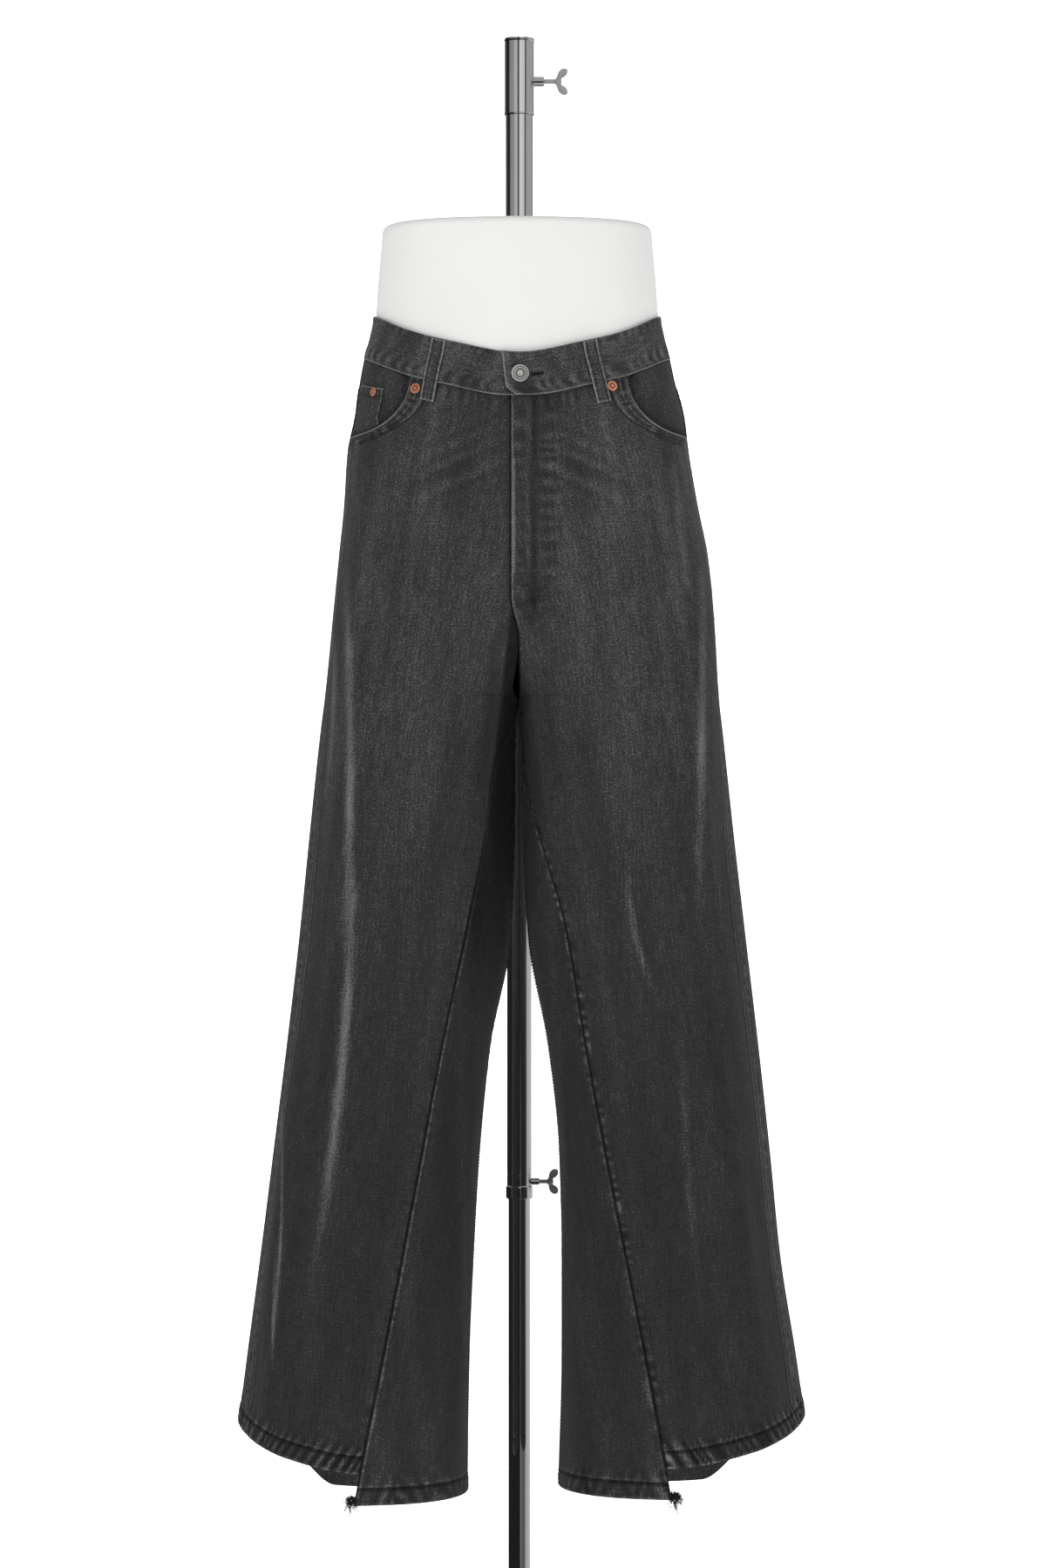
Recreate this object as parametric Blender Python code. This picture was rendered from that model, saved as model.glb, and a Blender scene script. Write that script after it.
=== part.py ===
"""Baggy jeans with inset inner-leg panels, worn on a limbless hip form on a telescoping stand.

Metres, +Z up, origin on the floor under the pole-to-form line. The front of the jeans faces -Y.
The cloth is one surface, worked out from a short table of plan sections: every panel, pocket and
loop is a patch of it, moved out or in along its normal and given its own wall.
"left" and "right" are the wearer's; the wearer's left is at +X.
"""
import math
from collections import namedtuple

import bmesh
import bpy
import numpy as np

# ---------------------------------------------------------------- driving sizes (metres)
DENIM = 0.0015                 # wall of one cloth panel
SEAM_GAP = 0.0003              # between neighbouring pieces
HEM_HEIGHT = 0.017             # turned and stitched hem
HEM_EXTRA = 0.0007             # the hem's folded plies stand out this much on each face
WAISTBAND_HEIGHT = 0.042
WAISTBAND_WALL = 0.0022
WAISTBAND_LIFT = 0.0004        # the waistband's outer face over the panels' face
FLY_SHIFT = 0.0072             # the fly's folded edge lies this far past the middle
FLY_STEP = 0.0012              # the upper fly panel stands out this much
LOOP_WIDTH = 0.0125
LOOP_WALL = 0.0016
LOOP_GAP = 0.0006
LOOP_OVERHANG = 0.006          # how far a loop runs below the waistband
YOKE_SIDE = 0.038              # yoke depth at the side seam
YOKE_MIDDLE = 0.068            # and at the middle of the back
POCKET_SIDE_X, POCKET_TOP_X = 0.1640, 0.1055     # front pocket's opening at the side and the waist
POCKET_LOW_Z, POCKET_HIGH_Z = 1.2003, 1.2530
FACING_MARGIN = 0.008          # how far the pocket facing runs on behind the opening's edge
FACING_LEVEL = 0.0006          # its face under the panels' face along its own seams
FACING_DEPTH = 0.0046          # and this much more behind the opening's edge
FACING_WALL = 0.0012
PATCH_WALL = 0.0012
PATCH_GAP = 0.0009             # patch pockets over what they lie on

CROTCH_Z = 0.945
FORK_TOP_Z = 1.065             # where the rise starts to curve under
ROUND = 0.064                  # squareness added to the elliptical sections
FORK_SHARE = 0.15
LEVEL_LOW_Z = 0.300            # rows below this fan out to the hem
LEVEL_HIGH_Z = 1.000           # rows above this fan out to the waist seam

POLE_Y = 0.158                 # the pole stands behind the cloth
TUBE_SIDES = 24
BASE_RADIUS = 0.170
BASE_HEIGHT = 0.008
LOWER_TUBE = (0.0095, 0.0110)  # inner and outer radius
MID_TUBE = (0.0114, 0.0125)
SLEEVE_TUBE = (0.0129, 0.0140)
LOWER_TUBE_TOP = 0.950
CLAMP_BOTTOM_Z = 0.4361
CLAMP_BAND_TOP_Z = 0.4486
CLAMP_TOP_Z = 0.4600
CLAMP_SCREW_Z = 0.4531
CLAMP_SCREW_FOOT = 0.0140      # the screw's bore starts this far from the pole's axis
MID_TUBE_TOP = 1.615
SLEEVE_BOTTOM_Z = 1.385
COLLAR_BOTTOM_Z = 1.5445
COLLAR_TOP_Z = 1.6230
COLLAR_SCREW_Z = 1.5790
COLLAR_SCREW_FOOT = 0.0155
FORM_TOP_Z = 1.410
FORM_WALL = 0.003

Section = namedtuple("Section", "height right_outer left_outer right_inner left_inner share front back")
SECTIONS = (
    # height, half widths out to each side, legs' inner edges, how far the section's own middle
    # has moved from the body's middle to the leg's, depth to the front and to the back
    Section(1.345, 0.1425, 0.1385, 0.0003, 0.0003, 0.00, 0.0960, 0.1010),
    Section(1.318, 0.1436, 0.1398, 0.0003, 0.0003, 0.00, 0.0975, 0.1035),
    Section(1.300, 0.1470, 0.1432, 0.0003, 0.0003, 0.00, 0.0990, 0.1050),
    Section(1.281, 0.1522, 0.1482, 0.0003, 0.0003, 0.00, 0.1010, 0.1070),
    Section(1.255, 0.1572, 0.1540, 0.0003, 0.0003, 0.10, 0.1050, 0.1105),
    Section(1.221, 0.1621, 0.1630, 0.0003, 0.0003, 0.25, 0.1100, 0.1160),
    Section(1.187, 0.1690, 0.1672, 0.0003, 0.0003, 0.42, 0.1135, 0.1210),
    Section(1.135, 0.1724, 0.1760, 0.0003, 0.0003, 0.60, 0.1165, 0.1260),
    Section(1.084, 0.1776, 0.1862, 0.0003, 0.0003, 0.74, 0.1180, 0.1285),
    Section(1.032, 0.1828, 0.1914, 0.0003, 0.0003, 0.86, 0.1190, 0.1275),
    Section(0.945, 0.1915, 0.1970, 0.0003, 0.0003, 0.98, 0.1195, 0.1200),
    Section(0.912, 0.1957, 0.2008, 0.0030, 0.0022, 1.00, 0.1195, 0.1155),
    Section(0.808, 0.2068, 0.2120, 0.0043, 0.0039, 1.00, 0.1190, 0.1060),
    Section(0.705, 0.2172, 0.2240, 0.0090, 0.0099, 1.00, 0.1180, 0.1010),
    Section(0.602, 0.2292, 0.2361, 0.0288, 0.0288, 1.00, 0.1175, 0.0990),
    Section(0.499, 0.2421, 0.2473, 0.0391, 0.0400, 1.00, 0.1175, 0.0985),
    Section(0.396, 0.2550, 0.2576, 0.0452, 0.0426, 1.00, 0.1180, 0.0990),
    Section(0.292, 0.2688, 0.2739, 0.0495, 0.0426, 1.00, 0.1190, 0.1005),
    Section(0.189, 0.2817, 0.2877, 0.0512, 0.0400, 1.00, 0.1200, 0.1020),
    Section(0.130, 0.2885, 0.2950, 0.0515, 0.0395, 1.00, 0.1210, 0.1030),
)

InsetSeam = namedtuple("InsetSeam", "height right_front left_front right_back left_back")
INSET_SEAMS = (
    # distance of the inset panels' seams from the middle, front and back of each leg
    InsetSeam(0.930, 0.0034, 0.0026, 0.0034, 0.0026),
    InsetSeam(0.871, 0.0256, 0.0052, 0.0110, 0.0100),
    InsetSeam(0.798, 0.0349, 0.0239, 0.0270, 0.0250),
    InsetSeam(0.731, 0.0483, 0.0433, 0.0430, 0.0420),
    InsetSeam(0.603, 0.0752, 0.0655, 0.0680, 0.0660),
    InsetSeam(0.468, 0.1004, 0.0907, 0.0930, 0.0920),
    InsetSeam(0.301, 0.1323, 0.1235, 0.1250, 0.1230),
    InsetSeam(0.183, 0.1558, 0.1449, 0.1470, 0.1440),
    InsetSeam(0.130, 0.1650, 0.1540, 0.1560, 0.1530),
)

Fold = namedtuple("Fold", "side face top_z top_x mid_x low_z low_x half_width height")
FOLDS = (
    # side +1 is the wearer's left; face -1 is the front; x runs outward from the middle
    Fold(-1, -1, 1.070, 0.170, 0.166, 0.330, 0.209, 0.020, 0.0075),
    Fold(-1, -1, 0.900, 0.085, 0.108, 0.250, 0.150, 0.030, 0.0035),
    Fold(-1, -1, 0.620, 0.215, 0.228, 0.230, 0.250, 0.013, 0.0050),
    Fold(-1, -1, 0.960, 0.128, 0.140, 0.520, 0.150, 0.020, -0.0045),
    Fold(+1, -1, 1.100, 0.180, 0.176, 0.740, 0.174, 0.018, 0.0070),
    Fold(+1, -1, 0.840, 0.106, 0.114, 0.560, 0.150, 0.022, 0.0055),
    Fold(+1, -1, 0.700, 0.190, 0.205, 0.230, 0.235, 0.020, 0.0050),
    Fold(+1, -1, 0.950, 0.140, 0.146, 0.600, 0.158, 0.020, -0.0045),
    Fold(-1, +1, 1.060, 0.060, 0.110, 0.700, 0.165, 0.022, 0.0070),
    Fold(-1, +1, 0.960, 0.030, 0.085, 0.560, 0.150, 0.020, 0.0060),
    Fold(-1, +1, 0.700, 0.190, 0.200, 0.240, 0.225, 0.020, 0.0055),
    Fold(+1, +1, 1.050, 0.066, 0.116, 0.720, 0.172, 0.022, 0.0070),
    Fold(+1, +1, 0.940, 0.034, 0.090, 0.580, 0.156, 0.020, 0.0060),
    Fold(+1, +1, 0.680, 0.185, 0.204, 0.250, 0.240, 0.020, 0.0055),
)

Crease = namedtuple("Crease", "side angle half_angle middle_z half_height depth")
CREASES = (
    # hollows on the inner thighs: angle from the outer side, round the front
    Crease(-1, -154.0, 20.0, 0.850, 0.110, 0.0150),
    Crease(+1, -150.0, 22.0, 0.800, 0.120, 0.0040),
)

WaistLine = namedtuple("WaistLine", "angle height")
WAIST_SEAM = (
    # the waistband's lower seam, by the angle from the outer side (-90 front, +90 back)
    WaistLine(-110.0, 1.2335), WaistLine(-90.0, 1.2338), WaistLine(-66.0, 1.2456),
    WaistLine(-57.0, 1.2508), WaistLine(-17.0, 1.2745), WaistLine(0.0, 1.2790),
    WaistLine(45.0, 1.2880), WaistLine(90.0, 1.2920), WaistLine(110.0, 1.2920),
)

HemLine = namedtuple("HemLine", "angle height")
OUTER_HEM = (
    # the hem climbs from the inset's seam to the outer side and drops again behind
    HemLine(-180.0, 0.1975), HemLine(-100.0, 0.1980), HemLine(-60.0, 0.2115),
    HemLine(-40.0, 0.2215), HemLine(-15.0, 0.2325), HemLine(0.0, 0.2345),
    HemLine(30.0, 0.2180), HemLine(64.0, 0.1805), HemLine(82.0, 0.1520),
    HemLine(100.0, 0.1500), HemLine(180.0, 0.1500),
)
INSET_HEM = (
    HemLine(-180.0, 0.1640), HemLine(-140.0, 0.1665), HemLine(-90.0, 0.1680),
    HemLine(90.0, 0.1560), HemLine(140.0, 0.1580), HemLine(180.0, 0.1640),
)
HEM_LIFT = {-1: 0.0, +1: 0.0055}

SIDE_LEVELS = (1.000, 1.035, 1.070, 1.105, 1.140, 1.172, 1.2003)     # front panel's side seam
YOKE_LEVELS = (1.2200, 1.2410)                                       # and on up to the yoke
BODY_LEVELS = (0.300, 0.360, 0.420, 0.480, 0.540, 0.600, 0.660, 0.720, 0.780, 0.830, 0.870,
               0.905, 0.9304, 0.9308, 0.9440, 0.9500, 0.9610, 0.9800, 1.000)
HEM_ROWS = (1.0, 0.88, 0.60, 0.30)                                   # shares of the fan to the hem
INSET_TOP_Z = 0.930

FormRing = namedtuple("FormRing", "height half_width front back")
FORM_RINGS = (
    FormRing(1.4020, 0.1329, 0.0870, 0.0915),
    FormRing(1.3760, 0.1351, 0.0898, 0.0945),
    FormRing(1.3450, 0.1377, 0.0928, 0.0984),
    FormRing(1.3180, 0.1393, 0.0953, 0.1007),
    FormRing(1.2755, 0.1416, 0.0992, 0.1035),
    FormRing(1.2340, 0.1430, 0.0995, 0.1060),
    FormRing(1.1870, 0.1465, 0.1010, 0.1090),
    FormRing(1.1350, 0.1490, 0.1020, 0.1110),
    FormRing(1.0840, 0.1485, 0.1005, 0.1110),
    FormRing(1.0320, 0.1420, 0.0930, 0.1020),
)
FORM_SIDE_SHIFT = 0.0019       # the form's half widths follow the waist's, a little wider right
FORM_CORNER = 0.008
FORM_SIDES = 32

Finish = namedtuple("Finish", "colour roughness metallic")
FINISHES = {
    "denim": Finish((0.043, 0.044, 0.046), 0.92, 0.0),
    "chrome": Finish((0.78, 0.78, 0.79), 0.08, 1.0),
    "form": Finish((0.83, 0.83, 0.82), 0.60, 0.0),
    "copper": Finish((0.62, 0.25, 0.14), 0.35, 1.0),
    "button": Finish((0.55, 0.55, 0.53), 0.38, 1.0),
}


Skin = namedtuple("Skin", "points normals")


# ---------------------------------------------------------------- curves
def smooth_lookup(xs, ys, x):
    """Monotone cubic through the points (xs rising), read at x."""
    xs = np.asarray(xs, float)
    ys = np.asarray(ys, float)
    x = np.clip(np.asarray(x, float), xs[0], xs[-1])
    step = np.diff(xs)
    slope = np.diff(ys) / step
    tangent = np.zeros_like(ys)
    tangent[0], tangent[-1] = slope[0], slope[-1]
    same_way = slope[:-1] * slope[1:] > 0
    weight_a = 2 * step[1:] + step[:-1]
    weight_b = step[1:] + 2 * step[:-1]
    safe_a = np.where(same_way, slope[:-1], 1.0)
    safe_b = np.where(same_way, slope[1:], 1.0)
    mean = (weight_a + weight_b) / (weight_a / safe_a + weight_b / safe_b)
    tangent[1:-1] = np.where(same_way, mean, 0.0)
    i = np.clip(np.searchsorted(xs, x, side="right") - 1, 0, len(xs) - 2)
    t = (x - xs[i]) / step[i]
    return (ys[i] * (1 + 2 * t) * (1 - t) ** 2 + tangent[i] * step[i] * t * (1 - t) ** 2
            + ys[i + 1] * t * t * (3 - 2 * t) + tangent[i + 1] * step[i] * t * t * (t - 1))


def fade(x, start, end):
    """0 before start, 1 after end, smooth between."""
    t = np.clip((np.asarray(x, float) - start) / (end - start), 0.0, 1.0)
    return t * t * (3 - 2 * t)


SECTION_HEIGHTS = [row.height for row in SECTIONS][::-1]


def section_value(column, z):
    return smooth_lookup(SECTION_HEIGHTS, [getattr(row, column) for row in SECTIONS][::-1], z)


def line_height(table, angle):
    degrees = np.degrees(angle)
    return smooth_lookup([row.angle for row in table], [row.height for row in table], degrees)


# ---------------------------------------------------------------- the cloth's surface
def fork(z):
    """0 above the fork, 1 at the crotch."""
    return np.clip((FORK_TOP_Z - z) / (FORK_TOP_Z - CROTCH_Z), 0.0, 1.0)


def side_name(side):
    return "left" if side > 0 else "right"


def section(side, z):
    """Middle, outer and inner half widths, front and back depth of one half's section."""
    z = np.asarray(z, float)
    outer = section_value(side_name(side) + "_outer", z)
    inner = section_value(side_name(side) + "_inner", z)
    share = np.clip(section_value("share", z), 1e-4, 1.0)
    middle = inner + share * (outer - inner) / 2
    closing = fork(z)
    opened = np.where(z >= CROTCH_Z, FORK_SHARE * share * (1 - closing) + closing, 1.0)
    return middle, outer - middle, (middle - inner) / opened, \
        section_value("front", z), section_value("back", z), opened


def rounded_cosine(ratio):
    """The cosine c for which c (1 + ROUND (1 - c c)) is the given ratio."""
    c = np.asarray(ratio, float)
    for _ in range(6):
        c = ratio / (1 + ROUND * (1 - c * c))
    return np.clip(c, 0.0, 1.0)


def open_angle(side, z, past=0.0):
    """Angle, from the outer side, at which this half's section comes to its inner edge."""
    middle, _, inner_width, _, _, _ = section(side, z)
    inner = section_value(side_name(side) + "_inner", z)
    reach = (middle - inner + np.asarray(past, float)) / inner_width
    return math.pi - np.arccos(rounded_cosine(np.clip(reach, 0.0, 1.0)))


def folds_depth(side, angle, z, x):
    """How far folds and creases move the surface out along the plan normal."""
    depth = np.zeros_like(x)
    facing = -np.sin(angle)
    for fold in FOLDS:
        if fold.side != side:
            continue
        t = np.clip((fold.top_z - z) / (fold.top_z - fold.low_z), 0.0, 1.0)
        path = (fold.top_x * (1 - t) * (1 - 2 * t) + 4 * fold.mid_x * t * (1 - t)
                + fold.low_x * t * (2 * t - 1))
        along = np.sin(math.pi * t) ** 0.8
        across = np.exp(-((x - path) / fold.half_width) ** 2)
        on_face = fade(-fold.face * facing, 0.05, 0.45)
        depth += fold.height * along * across * on_face
    for crease in CREASES:
        if crease.side != side:
            continue
        across = (np.degrees(angle) - crease.angle) / crease.half_angle
        along = (z - crease.middle_z) / crease.half_height
        depth -= crease.depth * np.exp(-across ** 2 - along ** 2)
    return depth


def cloth_point(side, angle, z):
    """Point of the panels' outer face at an angle from the outer side (- front, + back)."""
    angle = np.asarray(angle, float)
    z = np.asarray(z, float)
    middle, outer_width, inner_width, front, back, _ = section(side, z)
    c, s = np.cos(angle), np.sin(angle)
    width = np.where(c > 0, outer_width, inner_width)
    depth = np.where(s < 0, front, back)
    x = middle + width * c * (1 + ROUND * s * s)
    y = depth * s * (1 + ROUND * c * c)
    normal_x, normal_y = depth * c, width * s
    length = np.hypot(normal_x, normal_y)
    out = folds_depth(side, angle, z, x)
    x = x + out * normal_x / length
    y = y + out * normal_y / length
    return np.stack([side * x, y, z], axis=-1)


def cloth_normal(side, angle, z):
    """Outward unit normal, from differences of the surface."""
    small_angle, small_height = 1e-3, 5e-4
    across = cloth_point(side, angle + small_angle, z) - cloth_point(side, angle - small_angle, z)
    up = cloth_point(side, angle, z + small_height) - cloth_point(side, angle, z - small_height)
    normal = side * np.cross(across, up)
    return normal / np.linalg.norm(normal, axis=-1, keepdims=True)


def cloth_skin(side, angle, z, lift):
    """The surface moved out by lift."""
    return cloth_point(side, angle, z) + np.asarray(lift)[..., None] * cloth_normal(side, angle, z)


def angle_at_x(side, x, z, face):
    """Angle at which the front (-1) or back (+1) of a section is x away from the middle."""
    samples = np.linspace(math.radians(179.5), math.radians(2.0), 240) * face
    found = [np.interp(distance, side * cloth_point(side, samples, np.full(240, height))[:, 0],
                       samples)
             for distance, height in zip(np.ravel(x), np.ravel(z))]
    return np.reshape(found, np.shape(z))


def arc_step(side, angle, z, distance):
    """Angle that covers a distance along the section."""
    small = 1e-3
    speed = cloth_point(side, angle + small, z) - cloth_point(side, angle - small, z)
    return distance * 2 * small / np.linalg.norm(speed, axis=-1)


# ---------------------------------------------------------------- seams
SIDE_SEAM_ANGLE = math.radians(-8.0)


def side_seam(z):
    """The side seam sits a little in front of the outermost line, more so low down."""
    return SIDE_SEAM_ANGLE - math.radians(13.0) * (1 - fade(z, 0.75, 1.20))


def inset_seam(side, z, face):
    """Angle of the seam between an outer panel and its inset panel."""
    column = side_name(side) + ("_front" if face < 0 else "_back")
    heights = [row.height for row in INSET_SEAMS][::-1]
    distance = smooth_lookup(heights, [getattr(row, column) for row in INSET_SEAMS][::-1], z)
    return angle_at_x(side, distance, z, face)


def inner_edge(side, z, face):
    """Inner edge of a front or back panel: middle seam, then inseam, then inset seam."""
    above = face * open_angle(side, z)
    low = np.asarray(z) < INSET_TOP_Z + 0.0006
    return np.where(low, inset_seam(side, np.minimum(z, INSET_TOP_Z), face), above)


def fly_edge(side, z):
    """Front panels' middle edge: the left one laps past the middle down to the fly's foot."""
    past = FLY_SHIFT * fade(z, 1.000, 1.040)
    past = past if side > 0 else -past - 0.0004 * fade(z, 1.000, 1.040)
    return -open_angle(side, z, past)


def waist_seam(angle):
    return line_height(WAIST_SEAM, angle)


def yoke_seam(angle):
    """Lower edge of the yoke: deepest at the middle of the back."""
    depth = YOKE_SIDE + (YOKE_MIDDLE - YOKE_SIDE) * fade(angle, SIDE_SEAM_ANGLE, math.pi / 2)
    return waist_seam(angle) - depth


def hem_height(side, angle, inset):
    return line_height(INSET_HEM if inset else OUTER_HEM, angle) + HEM_LIFT[side]


# ---------------------------------------------------------------- solids
def finish_material(kind, name):
    finish = FINISHES[kind]
    material = bpy.data.materials.new(name)
    material.use_nodes = True
    shader = material.node_tree.nodes["Principled BSDF"]
    shader.inputs["Base Color"].default_value = (*finish.colour, 1.0)
    shader.inputs["Roughness"].default_value = finish.roughness
    shader.inputs["Metallic"].default_value = finish.metallic
    material.diffuse_color = (*finish.colour, 1.0)
    return material


def add_object(name, vertices, faces, kind, smooth=True):
    """One closed mesh object with its faces turned outwards."""
    mesh = bpy.data.meshes.new(name)
    mesh.from_pydata([tuple(v) for v in vertices], [], [tuple(f) for f in faces])
    work = bmesh.new()
    work.from_mesh(mesh)
    bmesh.ops.recalc_face_normals(work, faces=work.faces)
    if work.calc_volume(signed=True) < 0:
        bmesh.ops.reverse_faces(work, faces=work.faces)
    work.to_mesh(mesh)
    work.free()
    mesh.update()
    if smooth:
        mesh.shade_smooth()
        mesh.set_sharp_from_angle(angle=math.radians(40.0))
    mesh.materials.append(finish_material(kind, name))
    thing = bpy.data.objects.new(name, mesh)
    bpy.context.collection.objects.link(thing)
    return thing


def slab(outer, inner):
    """Vertices and faces of a wall between two equal grids of points."""
    rows, columns = outer.shape[:2]
    vertices = np.concatenate([outer.reshape(-1, 3), inner.reshape(-1, 3)])
    index = np.arange(rows * columns).reshape(rows, columns)
    other = index + rows * columns
    faces = []
    for top, flip in ((index, False), (other, True)):
        quads = np.stack([top[:-1, :-1], top[1:, :-1], top[1:, 1:], top[:-1, 1:]], axis=-1)
        quads = quads.reshape(-1, 4)
        faces.extend((quads[:, ::-1] if flip else quads).tolist())
    border = np.concatenate([index[0, :-1], index[:-1, -1], index[-1, :0:-1], index[:0:-1, 0]])
    opposite = border + rows * columns
    following = np.roll(border, -1)
    faces.extend(np.stack([border, following, np.roll(opposite, -1), opposite], axis=-1).tolist())
    return vertices, faces


def cloth_wall(name, side, angle, z, lift=0.0, wall=DENIM):
    """A patch of the cloth: its outer face lifted, its inner face a wall's thickness under it.

    Gives back the outer face's points and normals, for what lies on the patch.
    """
    normals = cloth_normal(side, angle, z)
    lift = np.broadcast_to(lift, angle.shape)[..., None]
    wall = np.broadcast_to(wall, angle.shape)[..., None]
    outer = cloth_point(side, angle, z) + lift * normals
    add_object(name, *slab(outer, outer - wall * normals), "denim")
    return Skin(outer, normals)


def between(grid, row, column):
    """Values between a grid's own points, at fractional rows and columns."""
    row_low = np.clip(np.floor(row).astype(int), 0, grid.shape[0] - 2)
    column_low = np.clip(np.floor(column).astype(int), 0, grid.shape[1] - 2)
    r, c = (row - row_low)[..., None], (column - column_low)[..., None]
    near = grid[row_low, column_low] * (1 - c) + grid[row_low, column_low + 1] * c
    far = grid[row_low + 1, column_low] * (1 - c) + grid[row_low + 1, column_low + 1] * c
    return near * (1 - r) + far * r


def place_on(skin, x, z):
    """Fractional row and column of a panel's point, from its distance off the middle and height."""
    row, column = 0.0, (skin.points.shape[1] - 1) / 2
    for _ in range(12):
        share = column - int(column)
        here = skin.points[:, int(column)] * (1 - share)
        if share > 0:
            here = here + skin.points[:, int(column) + 1] * share
        row = float(np.interp(z, here[:, 2], np.arange(len(here))))
        low = min(int(row), skin.points.shape[0] - 2)
        line = np.abs(skin.points[low, :, 0] * (1 - row + low) + skin.points[low + 1, :, 0] * (row - low))
        count = np.arange(len(line))
        rising = line[-1] > line[0]
        column = float(np.interp(x, line if rising else line[::-1], count if rising else count[::-1]))
    return row, column


def lay_on(name, skin, row, column, gap, wall):
    """A patch on a panel, made from the panel's own points moved out."""
    points, normals = between(skin.points, row, column), between(skin.normals, row, column)
    add_object(name, *slab(points + (gap + wall) * normals, points + gap * normals), "denim")


def lines_between(first, last):
    """First, last, and the whole numbers between them that aren't close to either."""
    inside = [k for k in range(int(first) + 1, int(last) + 1) if first + 0.12 < k < last - 0.12]
    return np.array([first, *inside, last], float)


def hem_fan(side, angle, low_row, inset):
    """Heights of one hem row: a share of the way from the lowest level to the hem."""
    hem = hem_height(side, angle, inset)
    band = (hem + HEM_HEIGHT - LEVEL_LOW_Z) / (hem - LEVEL_LOW_Z)
    share = band if low_row == HEM_ROWS[1] else low_row
    return LEVEL_LOW_Z + (hem - LEVEL_LOW_Z) * share


def patch_rows(side, face, columns, inset):
    """Angles and heights from the hem up to the highest body level, one row per level."""
    angles, heights = [], []
    levels = BODY_LEVELS
    if inset:
        levels = [z for z in BODY_LEVELS if z < INSET_TOP_Z] + [INSET_TOP_Z]

    def ends(z):
        z = np.asarray(z, float)
        if inset:
            inseam = face * (open_angle(side, z) - arc_step(side, face * 3.13, z, SEAM_GAP / 2))
            seam = inset_seam(side, z, face)
            return inseam, seam + face * arc_step(side, seam, z, SEAM_GAP / 2)
        seam = side_seam(z) + face * arc_step(side, side_seam(z), z, SEAM_GAP / 2)
        inner = inner_edge(side, z, face)
        if face < 0:
            inner = np.where(z > 0.99, fly_edge(side, z), inner)
        low = z < INSET_TOP_Z + 0.02
        return inner - face * np.where(low, arc_step(side, inner, z, SEAM_GAP / 2), 0.0), seam

    for share in HEM_ROWS:
        height = np.full(columns, 0.2)
        for _ in range(6):
            first, last = ends(height[0]), ends(height[-1])
            row = np.linspace(first[0], last[1], columns)
            height = hem_fan(side, row, share, inset)
        angles.append(row)
        heights.append(height)
    for level in levels:
        first, last = ends(level)
        angles.append(np.linspace(first, last, columns))
        heights.append(np.full(columns, level))
    return angles, heights


def hem_profile(rows, columns):
    """Lift and wall of a panel: thicker in the two lowest rows, where the hem is turned up."""
    extra = np.zeros((rows, columns))
    extra[:2] = HEM_EXTRA
    return extra, DENIM + 2 * extra


def pocket_curve(side, turn):
    """Angle and height on the front pocket's opening, from the side seam (0) to the waist (1)."""
    theta = np.asarray(turn) * math.pi / 2
    x = POCKET_SIDE_X - (POCKET_SIDE_X - POCKET_TOP_X) * np.sin(theta)
    z = POCKET_HIGH_Z - (POCKET_HIGH_Z - POCKET_LOW_Z) * np.cos(theta)
    return outer_angle(side, x, z), z


def outer_angle(side, x, z):
    """Angle on the outer, front quarter of a section at a distance x from the middle."""
    middle, outer_width, _, _, _, _ = section(side, z)
    return -np.arccos(rounded_cosine(np.clip((x - middle) / outer_width, 0.0, 1.0)))


def front_panel(side, columns=13):
    angles, heights = patch_rows(side, -1, columns, inset=False)
    for level in SIDE_LEVELS[1:]:
        angle, height = front_row(side, columns, level, None)
        angles.append(angle)
        heights.append(height)
    for turn in (0.22, 0.42, 0.60, 0.78, 0.92):
        angle, height = front_row(side, columns, None, turn)
        angles.append(angle)
        heights.append(height)
    end_angle, _ = pocket_curve(side, 1.0)
    top_angle = np.linspace(fly_edge(side, 1.234), end_angle, columns)
    angles.append(top_angle)
    heights.append(waist_seam(top_angle) - SEAM_GAP)
    angle, z = np.array(angles), np.array(heights)
    extra, wall = hem_profile(*angle.shape)
    if side > 0:
        from_edge = np.abs(angle - angle[:, :1])
        step = FLY_STEP * fade(z, 1.010, 1.060) * (1 - fade(from_edge, 0.25, 0.60))
        extra = extra + step
    return cloth_wall(side_name(side) + "_front_panel", side, angle, z, extra, wall)


def front_row(side, columns, level, turn):
    """A row above the body levels, to the side seam (level) or to the pocket's edge (turn)."""
    low, high = LEVEL_HIGH_Z, float(waist_seam(-math.pi / 2)) - SEAM_GAP
    side_top = float(waist_seam(SIDE_SEAM_ANGLE))
    if turn is None:
        outer_z = level
        seam = side_seam(outer_z)
        outer = seam - arc_step(side, seam, outer_z, SEAM_GAP / 2)
        share = (level - low) / (side_top - low)
    else:
        outer, outer_z = pocket_curve(side, turn)
        base = (SIDE_LEVELS[-1] - low) / (side_top - low)
        share = base + (1 - base) * turn
    inner_z = low + (high - low) * share
    return (np.linspace(float(fly_edge(side, inner_z)), float(outer), columns),
            np.linspace(inner_z, float(outer_z), columns))


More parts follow.
